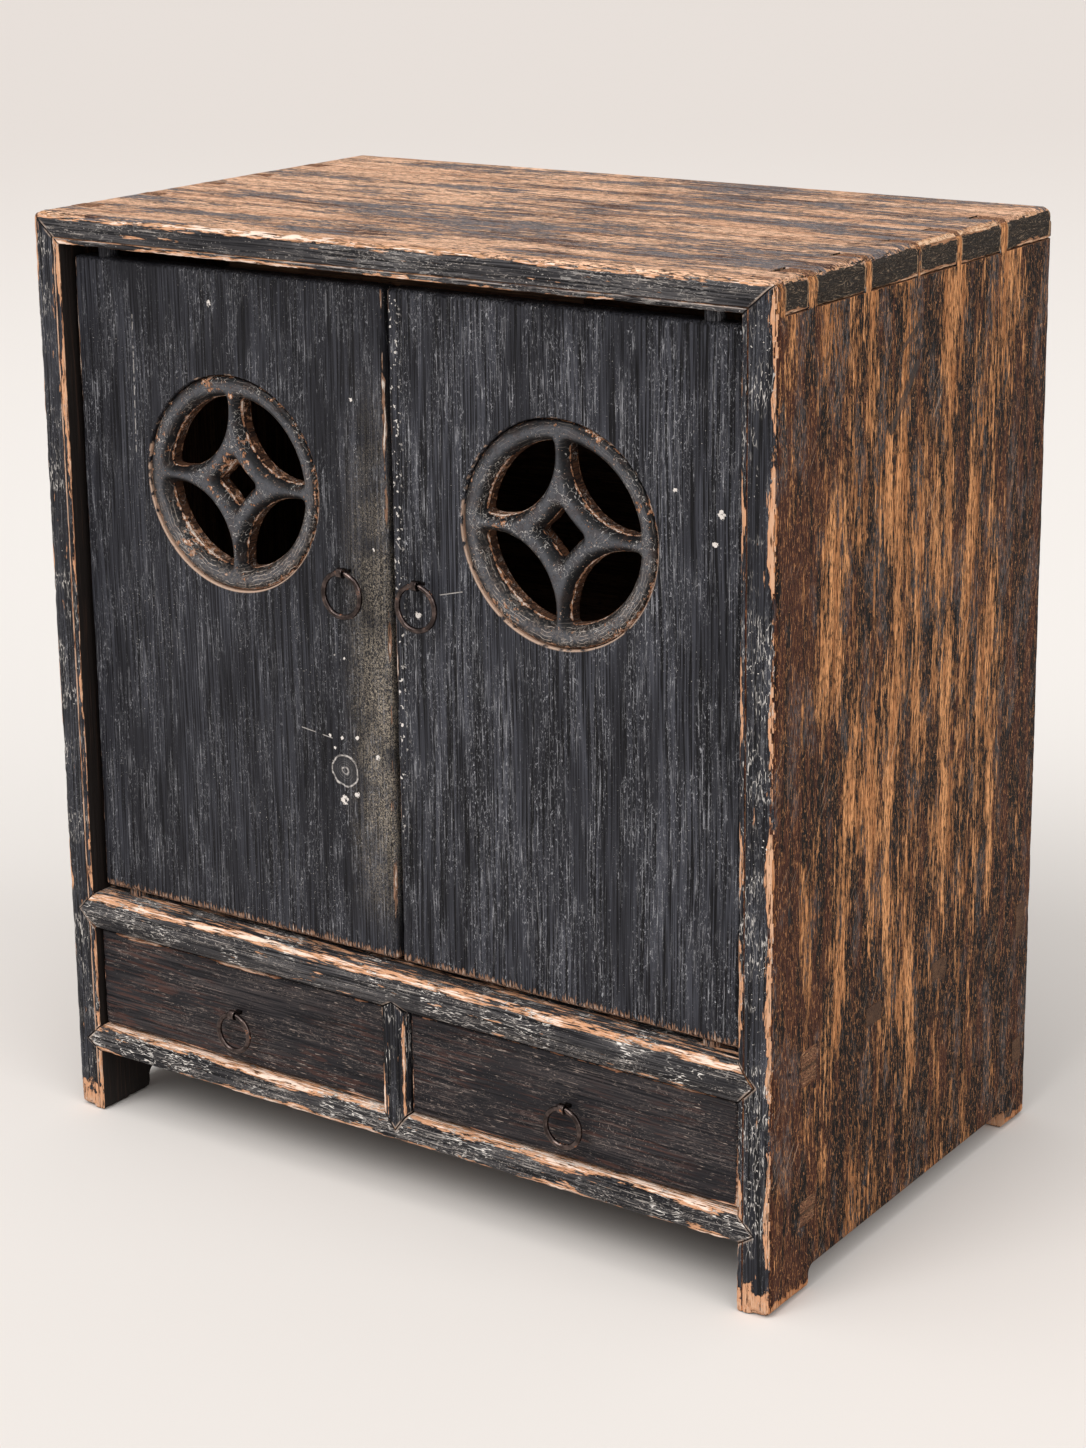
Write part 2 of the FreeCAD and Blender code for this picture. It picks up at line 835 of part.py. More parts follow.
def drawer_front():
    """The right drawer's front, rebated at both ends for the sides."""
    heights = (drawer_bottom_edge, drawer_top_edge)
    board = block((drawer_inner, drawer_outer), (drawer_face, drawer_front_rear), heights)
    board = rounded(board, drawer_front_rounding, lambda p: near(p.y, drawer_face))
    sides = [drawer_side_space(span) for span in drawer_side_spans().values()]
    slot = staple_slot(drawer_middle, drawer_face, drawer_front_thickness, drawer_pull_z())
    return cut(board, *sides, drawer_bottom(), slot, *drawer_pegs())


def drawer_pull_z():
    return drawer_bottom_edge + drawer_pull_height


def drawer_back():
    x_span = (drawer_inner + drawer_side_thickness, drawer_outer - drawer_side_thickness)
    y_span = (drawer_rear - drawer_back_thickness, drawer_rear)
    board = block(x_span, y_span, (drawer_panel_top, drawer_side_top - drawer_back_drop))
    return cut(board, *drawer_pegs())


def case_pieces():
    right_side = side_board()
    right_runner = runner(side_runner_span())
    pieces = {
        "side_board_right": right_side,
        "side_board_left": mirrored(right_side),
        "top_board": top_board(),
        "middle_rail": middle_rail(),
        "bottom_rail": bottom_rail(),
        "centre_stile": centre_stile(),
        "cabinet_floor": cabinet_floor(),
        "middle_back_rail": back_rail(middle_rail_under, middle_rail_top, "middle_back_rail"),
        "bottom_back_rail": back_rail(bottom_rail_clear, bottom_rail_top, "bottom_back_rail"),
        "drawer_runner_right": right_runner,
        "drawer_runner_left": mirrored(right_runner),
        "drawer_runner_centre": runner(centre_runner_span()),
        "drawer_guide": block(
            (-centre_stile_width / 2, centre_stile_width / 2),
            (rail_back, back_rail_front),
            (bottom_rail_top, bottom_rail_top + guide_height),
        ),
        "door_stop": door_stop(),
        "tenon_wedges": Part.makeCompound(tenon_wedges()),
        "back_nails": Part.makeCompound(back_nails()),
    }
    names = ("back_board_lower", "back_board_middle", "back_board_upper")
    for name, low_share, high_share in zip(names, back_board_share_edges, back_board_share_edges[1:]):
        pieces[name] = back_board(low_share, high_share)
    return pieces


def door_pieces(side, pull_inset, place):
    """Every piece of one door, put on its own side by place()."""
    x = door_inner + pull_inset
    z = door_bottom + door_pull_height
    pieces = {
        "door_board": door_board(x),
        "door_medallion": medallion(),
        "door_batten_lower": lower_batten(),
        "door_batten_upper": upper_batten(),
        "door_staple": staple(x, door_face, door_thickness, z, eye_radius),
        "door_ring": ring(x, door_face, z, door_ring_diameter),
    }
    return {f"{name}_{side}": place(shape) for name, shape in pieces.items()}


def drawer_pieces(side, place):
    """Every piece of one drawer, put on its own side by place()."""
    z = drawer_pull_z()
    pieces = {
        "drawer_front": drawer_front(),
        "drawer_side_outer": drawer_side("outer"),
        "drawer_side_inner": drawer_side("inner"),
        "drawer_back": drawer_back(),
        "drawer_bottom": drawer_bottom(),
        "drawer_pegs": Part.makeCompound(drawer_pegs()),
        "drawer_staple": staple(drawer_middle, drawer_face, drawer_front_thickness, z, eye_radius),
        "drawer_ring": ring(drawer_middle, drawer_face, z, drawer_ring_diameter),
    }
    return {f"{name}_{side}": place(shape) for name, shape in pieces.items()}


def unchanged(shape):
    return shape


def main():
    os.makedirs("parts", exist_ok=True)
    pieces = case_pieces()
    pieces.update(door_pieces("right", right_door_pull_inset, unchanged))
    pieces.update(door_pieces("left", left_door_pull_inset, mirrored))
    pieces.update(drawer_pieces("right", unchanged))
    pieces.update(drawer_pieces("left", mirrored))
    for name, shape in sorted(pieces.items()):
        box = shape.BoundBox
        size = f"{box.XLength:.1f} x {box.YLength:.1f} x {box.ZLength:.1f}"
        print(f"{name}: {len(shape.Solids)} solid(s), valid {shape.isValid()}, {size}")
        shape.exportStep(f"parts/{name}.step")


main()
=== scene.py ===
# %% [markdown]
# A worn black kang cabinet, dressed around its finished construction.
# The construction already holds every board, pivot and ring at its real size, so this lesson
# only adds what a camera sees: worn arrises, old lacquer, bare wood, iron and light.
# Every length is in metres, with X to the right, Y to the back and Z up.

# %% Open the construction
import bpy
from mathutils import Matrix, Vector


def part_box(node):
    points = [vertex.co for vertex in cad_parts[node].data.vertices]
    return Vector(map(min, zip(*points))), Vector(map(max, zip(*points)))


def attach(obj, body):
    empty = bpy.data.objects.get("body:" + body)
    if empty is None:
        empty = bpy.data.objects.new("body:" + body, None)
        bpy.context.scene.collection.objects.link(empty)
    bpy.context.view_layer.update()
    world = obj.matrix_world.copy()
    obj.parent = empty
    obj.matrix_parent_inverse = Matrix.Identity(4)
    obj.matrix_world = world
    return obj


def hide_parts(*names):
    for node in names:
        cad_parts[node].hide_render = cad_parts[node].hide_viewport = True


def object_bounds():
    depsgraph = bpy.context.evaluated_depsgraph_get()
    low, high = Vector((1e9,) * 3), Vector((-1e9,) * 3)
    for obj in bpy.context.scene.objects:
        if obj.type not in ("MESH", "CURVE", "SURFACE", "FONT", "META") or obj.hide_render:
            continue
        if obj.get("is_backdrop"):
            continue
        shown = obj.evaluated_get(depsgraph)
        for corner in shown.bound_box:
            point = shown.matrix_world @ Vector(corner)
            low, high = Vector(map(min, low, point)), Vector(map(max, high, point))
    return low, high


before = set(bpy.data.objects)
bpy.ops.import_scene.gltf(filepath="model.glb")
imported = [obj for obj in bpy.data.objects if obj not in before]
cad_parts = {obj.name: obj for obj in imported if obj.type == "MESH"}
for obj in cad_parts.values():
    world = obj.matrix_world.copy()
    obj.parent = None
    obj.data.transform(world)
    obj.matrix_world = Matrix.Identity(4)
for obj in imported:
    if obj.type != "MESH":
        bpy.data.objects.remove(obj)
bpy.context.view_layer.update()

# %% Tools used throughout
import math

import bmesh
import bpy
import numpy as np
from mathutils import Matrix, Vector
from mathutils.kdtree import KDTree

MM = 0.001
scene = bpy.context.scene
print("Blender", bpy.app.version_string)

# %% [markdown]
# The camera comes first, because every later choice is judged through it.
# Its place was found by matching the corners of the case with the same corners in the picture:
# a long lens from the right, a little above the top. The picture is a little rolled as well, and
# its uprights stay nearly parallel, as with a lens that is shifted down, so this lens is too.

# %% Set the camera
camera_place = Vector((1.2259, -1.7549, 0.9970))
camera_yaw = math.radians(-34.88)
camera_dip = math.radians(14.95)
camera_roll = math.radians(-0.69)
camera_lens_mm = 74.53
camera_shift_down = 0.10

forward = Vector(
    (
        math.sin(camera_yaw) * math.cos(camera_dip),
        math.cos(camera_yaw) * math.cos(camera_dip),
        -math.sin(camera_dip),
    )
)
level_right = Vector((math.cos(camera_yaw), -math.sin(camera_yaw), 0))
level_up = level_right.cross(forward)
camera_right = level_right * math.cos(camera_roll) + level_up * math.sin(camera_roll)
camera_up = level_up * math.cos(camera_roll) - level_right * math.sin(camera_roll)

camera_data = bpy.data.cameras.new("camera")
camera_data.lens = camera_lens_mm
camera_data.shift_y = -camera_shift_down
camera = bpy.data.objects.new("camera", camera_data)
scene.collection.objects.link(camera)
turn = Matrix((camera_right, camera_up, -forward)).transposed()
camera.matrix_world = Matrix.Translation(camera_place) @ turn.to_4x4()
scene.camera = camera
print("camera looks along", [round(v, 3) for v in forward])

# %% [markdown]
# Materials are written as arithmetic. A Wire stands for one output of a node, and Python's
# operators on it add Math nodes, so a mask reads like a formula. A Recipe is a node tree that is
# being filled in: its one method, node, adds any other kind of node. Both serve the shader trees
# and the Geometry Nodes trees, because the two share their maths nodes.

# %% A socket that can be calculated with


class Wire:
    """One output of a node. Arithmetic on it adds Math nodes to the same tree."""

    def __init__(self, recipe, socket):
        self.recipe = recipe
        self.socket = socket

    def maths(self, operation, *values, clamp=False):
        settings = {"operation": operation, "use_clamp": clamp}
        return self.recipe.node("ShaderNodeMath", settings, dict(enumerate(values)))

    def __add__(self, other):
        return self.maths("ADD", self, other)

    def __sub__(self, other):
        return self.maths("SUBTRACT", self, other)

    def __rsub__(self, other):
        return self.maths("SUBTRACT", other, self)

    def __mul__(self, other):
        return self.maths("MULTIPLY", self, other)

    def __truediv__(self, other):
        return self.maths("DIVIDE", self, other)

    def __pow__(self, other):
        return self.maths("POWER", self, other)

    def __neg__(self):
        return self.maths("MULTIPLY", self, -1.0)

    def __abs__(self):
        return self.maths("ABSOLUTE", self)

    __radd__ = __add__
    __rmul__ = __mul__

    def least(self, other):
        return self.maths("MINIMUM", self, other)

    def most(self, other):
        return self.maths("MAXIMUM", self, other)

    def clamped(self):
        return self.maths("ADD", self, 0.0, clamp=True)

    def remainder(self):
        """What is left of a number after its whole part, which turns a slope into bands."""
        return self.maths("FRACT", self)

    def rise(self, low, high):
        """0 below low, 1 above high and a smooth step between them."""
        ends = {"Value": self, "From Min": low, "From Max": high}
        return self.recipe.node("ShaderNodeMapRange", {"interpolation_type": "SMOOTHSTEP"}, ends)

    def fall(self, low, high):
        """1 below low, 0 above high and a smooth step between them."""
        return 1.0 - self.rise(low, high)


print("a wire adds its own maths nodes")

# %% [markdown]
# The recipe also knows the two patterns that most of this lesson is built on: cloudy noise of a
# chosen size, and how far a point on a board lies from the nearest arris.

# %% A tree that is being filled in


class Recipe:
    """A node tree with one way to add a node: its type, its settings, then its sockets."""

    def __init__(self, tree):
        self.tree = tree

    def node(self, kind, settings=None, values=None, output=0):
        made = self.tree.nodes.new(kind)
        for name, setting in (settings or {}).items():
            setattr(made, name, setting)
        for key, value in (values or {}).items():
            if isinstance(value, Wire):
                self.tree.links.new(value.socket, made.inputs[key])
            else:
                made.inputs[key].default_value = value
        return Wire(self, made.outputs[output]) if made.outputs else None

    def vector(self, operation, *values):
        """Vector arithmetic, which a Math node would flatten to one number."""
        return self.node("ShaderNodeVectorMath", {"operation": operation}, dict(enumerate(values)))

    def scaled(self, vector, factor):
        return self.node("ShaderNodeVectorMath", {"operation": "SCALE"}, {0: vector, "Scale": factor})

    def split(self, vector):
        made = self.node("ShaderNodeSeparateXYZ", values={0: vector})
        return [Wire(self, socket) for socket in made.socket.node.outputs]

    def noise(self, place, scales, seed, detail=2.0, roughness=0.5, warp=0.0):
        """Cloudy noise from 0 to 1. A scale is how many blots fit in a metre along an axis."""
        moved = self.vector("MULTIPLY", place, tuple(scales))
        moved = self.vector("ADD", moved, (seed, seed * 1.7, seed * 0.6))
        values = {
            "Vector": moved,
            "Scale": 1.0,
            "Detail": detail,
            "Roughness": roughness,
            "Distortion": warp,
        }
        return self.node("ShaderNodeTexNoise", values=values)

    def edge_distance(self, place, middle, half):
        """How far a point on a box's surface lies from the nearest arris.

        Of its distances to the three pairs of faces, the least is about zero on the surface,
        and the middle one reaches the nearest edge.
        """
        offset = self.vector("ABSOLUTE", self.vector("SUBTRACT", place, middle))
        x, y, z = self.split(self.vector("SUBTRACT", half, offset))
        return x + y + z - x.least(y).least(z) - x.most(y).most(z)


print("wires and recipes are ready")

# %% [markdown]
# Geometry Nodes trees are filled in by the same recipes. Each one starts with its geometry and
# its named inputs, and ends by making its instances real and giving them their material.

# %% A tree's inputs and its end


def new_tree(name, inputs):
    """An empty Geometry Nodes tree with a geometry in and out, and its named inputs."""
    tree = bpy.data.node_groups.new(name, "GeometryNodeTree")
    tree.interface.new_socket("Geometry", in_out="INPUT", socket_type="NodeSocketGeometry")
    for label, kind in inputs.items():
        tree.interface.new_socket(label, in_out="INPUT", socket_type=kind)
    tree.interface.new_socket("Geometry", in_out="OUTPUT", socket_type="NodeSocketGeometry")
    recipe = Recipe(tree)
    entry = recipe.node("NodeGroupInput").socket.node
    sockets = {socket.name: Wire(recipe, socket) for socket in entry.outputs if socket.name}
    return recipe, sockets


def close_tree(recipe, geometry, finish):
    """Ends a tree as every one here ends: real geometry, with its material."""
    real = recipe.node("GeometryNodeRealizeInstances", values={"Geometry": geometry})
    painted = recipe.node("GeometryNodeSetMaterial", values={"Geometry": real, "Material": finish})
    recipe.node("NodeGroupOutput", values={"Geometry": painted})
    return recipe.tree


print("trees can be opened and closed")

# %% [markdown]
# Hand tools and two centuries of use leave no straight line. The weather tree below takes a dense
# closed board and moves its surface inwards: a slow wave from the plane, deep ragged wear along
# the arrises, and a few dents. It works on any board, so it is one tree with named inputs, and
# nothing ever grows outwards past the real size.

# %% The tree that wears a board down
wear_inputs = {
    "Low Corner": "NodeSocketVector",
    "High Corner": "NodeSocketVector",
    "Wave": "NodeSocketFloat",
    "Wear": "NodeSocketFloat",
    "Wear Width": "NodeSocketFloat",
    "Dents": "NodeSocketFloat",
    "Seed": "NodeSocketFloat",
    "Finish": "NodeSocketMaterial",
}
waves_in_a_metre = (9, 9, 9)
patches_in_a_metre = (30, 30, 30)
chips_in_a_metre = (150, 150, 150)
least_depth = 0.05 * MM


def weather_tree():
    recipe, given = new_tree("weathered board", wear_inputs)
    place = recipe.node("GeometryNodeInputPosition")
    outward = recipe.node("GeometryNodeInputNormal")
    seed = given["Seed"]
    middle = recipe.scaled(recipe.vector("ADD", given["Low Corner"], given["High Corner"]), 0.5)
    half = recipe.vector("SUBTRACT", given["High Corner"], middle)
    edge = recipe.edge_distance(place, middle, half)
    shift = recipe.node("ShaderNodeCombineXYZ", values={0: seed, 1: seed * 0.7})
    shifted = recipe.vector("ADD", place, shift)
    broad = recipe.noise(shifted, waves_in_a_metre, 0.0)
    patchy = recipe.noise(shifted, patches_in_a_metre, 5.0)
    chips = recipe.noise(shifted, chips_in_a_metre, 9.0, detail=3.0)
    near_arris = (edge / given["Wear Width"]).fall(0.0, 1.0)
    ragged = 0.12 + patchy.rise(0.42, 0.70) * 0.5 + chips.rise(0.45, 0.75) * 0.55
    depth = broad * given["Wave"] + near_arris * ragged * given["Wear"]
    depth = depth + patchy.rise(0.66, 0.80) * given["Dents"] + least_depth
    inwards = recipe.scaled(outward, -depth)
    moved = recipe.node("GeometryNodeSetPosition", values={"Geometry": given["Geometry"], "Offset": inwards})
    return close_tree(recipe, moved, given["Finish"])


weather = weather_tree()
print("weather tree has", len(weather.nodes), "nodes")

# %% [markdown]
# A tree runs on an object as a modifier. Its inputs are set by the sockets' identifiers, before
# the object is first evaluated, and the result is kept as a plain mesh, with no modifier left.

# %% Turn an object into a plain mesh


def plain(thing):
    """Keeps what an object's modifiers make of its mesh, and removes them."""
    depsgraph = bpy.context.evaluated_depsgraph_get()
    made = bpy.data.meshes.new_from_object(thing.evaluated_get(depsgraph))
    old = thing.data
    thing.modifiers.clear()
    thing.data = made
    bpy.data.meshes.remove(old)
    return thing


def grown(thing, tree, **inputs):
    """Runs a Geometry Nodes tree on an object, with inputs named as in the tree."""
    modifier = thing.modifiers.new(tree.name, "NODES")
    modifier.node_group = tree
    for item in tree.interface.items_tree:
        key = item.name.replace(" ", "_").lower()
        if item.in_out == "INPUT" and key in inputs:
            modifier[item.identifier] = inputs[key]
    return plain(thing)


def new_object(name, vertices, faces):
    mesh = bpy.data.meshes.new(name)
    mesh.from_pydata([tuple(v) for v in vertices], [], [tuple(f) for f in faces])
    mesh.validate()
    thing = bpy.data.objects.new(name, mesh)
    scene.collection.objects.link(thing)
    return thing


def drop(thing):
    """Removes a helper object and its mesh."""
    mesh = thing.data
    bpy.data.objects.remove(thing)
    bpy.data.meshes.remove(mesh)


print("modifiers become plain meshes")

# %% [markdown]
# A worn board starts as a box whose surface is a net of small quads, finer beside the arrises,
# with those arrises already rounded. A subdivided cube would waste its quads on the flat middle.

# %% Lay a net of quads over a box


def net_lines(low, high, spacing, fine, band):
    """Places along one axis, close together beside both ends and wider in the middle."""
    band = min(band, (high - low) / 3)
    ends = np.linspace(0, band, max(2, round(band / fine)) + 1)
    count = max(2, round((high - low - 2 * band) / spacing))
    inner = np.linspace(low + band, high - band, count + 1)[1:-1]
    return np.concatenate([low + ends, inner, (high - ends)[::-1]])


def net_box(name, low, high, spacing, fine=1.2 * MM, band=7 * MM, arris=3 * MM):
    """A closed box of small quads with rounded arrises.

    The arris is one radius, or a function that gives each point its own.
    """
    lines = [net_lines(low[i], high[i], spacing, fine, band) for i in range(3)]
    counts = [len(places) for places in lines]
    index = -np.ones(counts, dtype=int)
    shell = np.zeros(counts, dtype=bool)
    for axis in range(3):
        ends = [slice(None)] * 3
        ends[axis] = [0, -1]
        shell[tuple(ends)] = True
    index[shell] = np.arange(shell.sum())
    grid = np.stack(np.meshgrid(*lines, indexing="ij"), axis=-1)
    points = grid[shell]
    faces = []
    for axis in range(3):
        for end, flip in ((0, axis != 1), (-1, axis == 1)):
            sheet = np.take(index, end, axis=axis)
            quads = np.stack([sheet[:-1, :-1], sheet[1:, :-1], sheet[1:, 1:], sheet[:-1, 1:]], axis=-1)
            quads = quads.reshape(-1, 4)
            faces.append(quads[:, ::-1] if flip else quads)
    radius = arris(points) if callable(arris) else np.full(len(points), arris)
    radius = radius[:, None]
    core = np.clip(points, np.array(low) + radius, np.array(high) - radius)
    away = points - core
    length = np.linalg.norm(away, axis=1, keepdims=True)
    points = core + away * np.minimum(1, radius / np.maximum(length, 1e-9))
    return new_object(name, points, np.concatenate(faces))


print("a net can be laid over any box")

# %% [markdown]
# The net wears down in the tree above. Then it is cut with a copy of the real board, by a boolean
# intersection: what is left has the worn skin outside, and every real rebate, mitre, dovetail,
# bead and tenon exactly where the construction has it.

# %% Copy, combine and shade solids
merge_distance = 0.002 * MM
smooth_below = math.radians(32)
faces_at_least = 0.66


def copy_of(node, name):
    """A copy of a construction node, with its loose triangles merged into a closed solid."""
    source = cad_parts[node].data
    work = bmesh.new()
    work.from_mesh(source)
    bmesh.ops.remove_doubles(work, verts=work.verts, dist=merge_distance)
    points = [v.co.copy() for v in work.verts]
    faces = [[v.index for v in f.verts] for f in work.faces]
    work.free()
    return new_object(name, points, faces)


def combined(thing, other, operation):
    """Combines two closed solids and keeps the result in the first."""
    modifier = thing.modifiers.new("combine", "BOOLEAN")
    modifier.operation = operation
    modifier.solver = "EXACT"
    modifier.object = other
    plain(thing)
    drop(other)
    return thing


def smoothed(thing):
    """Smooth shading that keeps the sharp cuts sharp."""
    thing.data.shade_smooth()
    thing.data.set_sharp_from_angle(angle=smooth_below)
    return thing


print("solids can be copied and combined")

# %% [markdown]
# Each face of a board has its own material, because it has had its own life. A face is told by
# the way it looks, so nothing has to be picked by hand.

# %% Paint, wear and cut one board


def paint(thing, inside, faces=()):
    """Gives a piece its finishes. Each of faces is a direction and what looks that way."""
    mesh = thing.data
    mesh.materials.clear()
    for finish in (inside, *[finish for toward, finish in faces]):
        mesh.materials.append(finish)
    looks = np.empty(len(mesh.polygons) * 3)
    mesh.polygons.foreach_get("normal", looks)
    looks = looks.reshape(-1, 3)
    slots = np.zeros(len(looks), dtype=np.int32)
    for index, (toward, finish) in enumerate(faces):
        slots[looks @ np.array(toward, float) > faces_at_least] = index + 1
    mesh.polygons.foreach_set("material_index", slots)
    return thing


def weathered(thing, box, finish, seed, wave, wear, wear_width, dents):
    """Runs the weather tree on a skin. Its four lengths are in millimetres."""
    low, high = box
    return grown(
        thing,
        weather,
        low_corner=tuple(low),
        high_corner=tuple(high),
        wave=wave * MM,
        wear=wear * MM,
        wear_width=wear_width * MM,
        dents=dents * MM,
        seed=float(seed),
        finish=finish,
    )


def worn_board(
    node,
    finish,
    spacing,
    seed,
    wave=0.35,
    wear=1.3,
    wear_width=5.0,
    dents=0.5,
    arris=3.0,
    shape=None,
    extra=None,
    box=None,
    faces=(),
):
    """The worn, visible version of one board, with its lengths in millimetres.

    Shape bends the net, extra is a solid that is added to it, and box is where the net lies if
    it isn't the whole node.
    """
    low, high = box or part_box(node)
    radius = arris if callable(arris) else arris * MM
    thing = net_box("worn_" + node, low, high, spacing * MM, arris=radius)
    if shape:
        shape(thing.data)
    weathered(thing, (low, high), finish, seed, wave, wear, wear_width, dents)
    if extra:
        combined(thing, extra, "UNION")
    combined(thing, copy_of(node, "cut_" + node), "INTERSECT")
    smoothed(paint(thing, finish, faces))
    print(thing.name, len(thing.data.polygons), "faces")
    return thing


print("boards can be worn and cut")

# %% [markdown]
# Now the finishes. Old furniture wears in layers: bare wood at the bottom, a film of black
# lacquer over it, and marks on the film. Each layer is a small function, and each visible piece
# stacks the layers that it needs. A grain is noise that is short across the board and long along
# it. All of it reads Object coordinates, which here are real places on the cabinet.

# %% A material as a recipe
X, Y, Z = 0, 1, 2
wander = 7 * MM
wander_blots = 4


def rgba(colour):
    """A plain colour gets its fourth number; a wire stays as it is."""
    return colour if isinstance(colour, Wire) else (*colour, 1.0)


class Finish(Recipe):
    """One material, whose place is the real place on the cabinet."""

    def __init__(self, name):
        material = bpy.data.materials.new(name)
        material.use_nodes = True
        material.node_tree.nodes.clear()
        super().__init__(material.node_tree)
        self.material = material
        self.straight = self.node("ShaderNodeTexCoord", output="Object")
        self.at = self.split(self.straight)
        self.place = self.wandering(wander, wander_blots)

    def wandering(self, amount, blots):
        """The place, pushed about a little, so that no grain line is ruler straight."""
        cloud = self.node(
            "ShaderNodeTexNoise",
            values={"Vector": self.straight, "Scale": blots, "Detail": 1.0},
            output="Color",
        )
        push = self.scaled(self.vector("SUBTRACT", cloud, (0.5, 0.5, 0.5)), amount)
        return self.vector("ADD", self.straight, push)

    def grain(self, along, width, length, seed, detail=2.0, roughness=0.5):
        """Noise drawn out along one axis. Width and length are a blot's size in millimetres."""
        scales = [1 / (width * MM)] * 3
        scales[along] = 1 / (length * MM)
        return self.noise(self.place, scales, seed, detail, roughness)

    def cloud(self, size, seed, detail=2.0, roughness=0.5):
        """Noise that is alike in every direction, with blots of one size in millimetres."""
        return self.noise(self.place, [1 / (size * MM)] * 3, seed, detail, roughness)

    def mix(self, amount, first, second):
        settings = {"data_type": "RGBA"}
        values = {"Factor": amount, 6: rgba(first), 7: rgba(second)}
        return self.node("ShaderNodeMix", settings, values, output=2)

    def near_line(self, start, end, width, axes=(X, Z), mirror=False):
        """1 on a line between two places, given by two of their coordinates, fading to 0 beside it."""
        (a0, b0), (a1, b1) = start, end
        a, b = (self.at[axis] for axis in axes)
        a = abs(a) if mirror else a
        run, climb = a1 - a0, b1 - b0
        squared = run * run + climb * climb
        share = ((a - a0) * (run / squared) + (b - b0) * (climb / squared)).clamped()
        across = a - a0 - share * run
        up = b - b0 - share * climb
        return ((across * across + up * up) ** 0.5).fall(width * 0.25, width)

    def from_spot(self, spot):
        """How far a point lies from one place."""
        values = {0: self.straight, 1: spot}
        return self.node("ShaderNodeVectorMath", {"operation": "DISTANCE"}, values, output=1)

    def finished(self, colour, height, roughness, depth, metallic=0.0, shine=0.16):
        """Ends the recipe: colour, roughness and a relief of this depth in millimetres."""
        relief = self.node("ShaderNodeBump", values={"Distance": depth * MM, "Height": height})
        values = {
            "Base Color": rgba(colour),
            "Roughness": roughness,
            "Metallic": metallic,
            "Specular IOR Level": shine,
            "Normal": relief,
        }
        surface = self.node("ShaderNodeBsdfPrincipled", values=values)
        self.node("ShaderNodeOutputMaterial", values={"Surface": surface})
        return self.material


print("a finish is a recipe for a material")

# %% [markdown]
# A layer is three things: a colour, a relief and a roughness. Elm gone orange and brown lies at
# the bottom. Over it comes lacquer that is nearly black with a cold cast. Wood that is rubbed for
# years turns pale and pink.

# %% The colours of wood and lacquer
bare_light = (0.66, 0.34, 0.155)
bare_dark = (0.30, 0.12, 0.048)
raw_pink = (0.98, 0.76, 0.62)
raw_orange = (0.70, 0.36, 0.20)
wood_pore = (0.020, 0.012, 0.010)
film_black = (0.008, 0.008, 0.011)
# The grey of the grain's ridge tops is a painted highlight.
ridge_highlight_grey = (0.062, 0.064, 0.078)
dust_grey = (0.46, 0.46, 0.49)
fleck_pale = (0.90, 0.84, 0.78)
# This black is painted shade in the furrows, and the real colour of cracks in the joints.
crack_black_and_furrow_shade = (0.003, 0.003, 0.004)
print("colours of bare wood, rubbed wood and lacquer")

# %% [markdown]
# Bare wood is fine fibres over broad bands, with short dark pores. The thin curved scratches on
# old lacquer come from the same noise.

# %% Bare wood and hairlines


def bare_wood(f, along, seed, light=bare_light, dark=bare_dark):
    fine = f.grain(along, 1.2, 40, seed, detail=3.0)
    broad = f.grain(along, 9, 200, seed + 3)
    colour = f.mix((fine * 0.6 + broad * 0.5).rise(0.42, 0.66), dark, light)
    pores = f.grain(along, 0.8, 7, seed + 7).rise(0.57, 0.66)
    return f.mix(pores * 0.85, colour, wood_pore), fine - pores * 0.9, 0.75


def hairlines(f, along, width, length, seed, thin=0.014):
    """Thin curved scratches lie where a drawn-out cloud passes through its middle value."""
    return abs(f.grain(along, width, length, seed, detail=2.0) - 0.5).fall(thin * 0.3, thin)


print("bare wood and hairlines")

# %% [markdown]
# The lacquer lies over upright grain. Its ridges are painted grey as a highlight and its furrows black as
# painted shade. Fine pale streaks show where the grain has pushed through and holds dust, and small flecks
# where the film has chipped.

# %% The lacquer film


def lacquer_film(f, along, seed, ridges=1.0, dust=1.0, grey=ridge_highlight_grey, black=film_black, pale=dust_grey):
    """Black film over upright grain: painted highlight grey on the ridges, painted shade black in the
    furrows, dusted in places.
    """
    ridge = f.grain(along, 1.3, 90, seed, detail=4.0, roughness=0.6)
    broad = f.grain(along, 26, 150, seed + 11)
    # Ridge tops are painted grey: a painted highlight that follows the relief.
    painted_ridge_highlight = ridge.rise(0.40, 0.64) * (0.3 + broad.rise(0.35, 0.65) * 0.7) * ridges
    colour = f.mix(painted_ridge_highlight.clamped(), black, grey)
    where = f.grain(along, 12, 60, seed + 5, detail=3.0).rise(0.42, 0.58)
    lines = f.grain(along, 0.9, 26, seed + 2, detail=4.0, roughness=0.6).rise(0.55, 0.66)
    dots = f.grain(along, 0.8, 2.2, seed + 4, detail=2.0).rise(0.60, 0.68)
    curls = hairlines(f, along, 3, 8, seed + 6, 0.02) * f.grain(along, 1.6, 5, seed + 8).rise(0.50, 0.60)
    dusted = (lines * (where * 0.46 + dots * 0.5) + dots * where * 0.3 + curls * where * 0.7) * dust
    colour = f.mix(dusted.clamped(), colour, pale)
    # Furrows are painted black: painted shade that follows the relief.
    painted_furrow_shade = ridge.fall(0.36, 0.43) * ridges
    colour = f.mix(painted_furrow_shade * 0.7, colour, crack_black_and_furrow_shade)
    return colour, ridge * ridges * 1.2 - painted_furrow_shade * 0.6 + dusted * 0.6, 0.50


def flecks(f, seed, amount, size=1.5):
    """Small spots where the film has chipped, gathered in patches."""
    spots = f.noise(f.straight, [1 / (size * MM)] * 3, seed, detail=1.0).rise(0.74 - amount * 0.03, 0.77)
    return spots * f.cloud(50, seed + 1).rise(0.48, 0.62)


print("the lacquer film and its flecks")

# %% [markdown]
# One layer is laid over another through a mask from 0 to 1. Colours are mixed, and relief and
# roughness are blended as numbers.

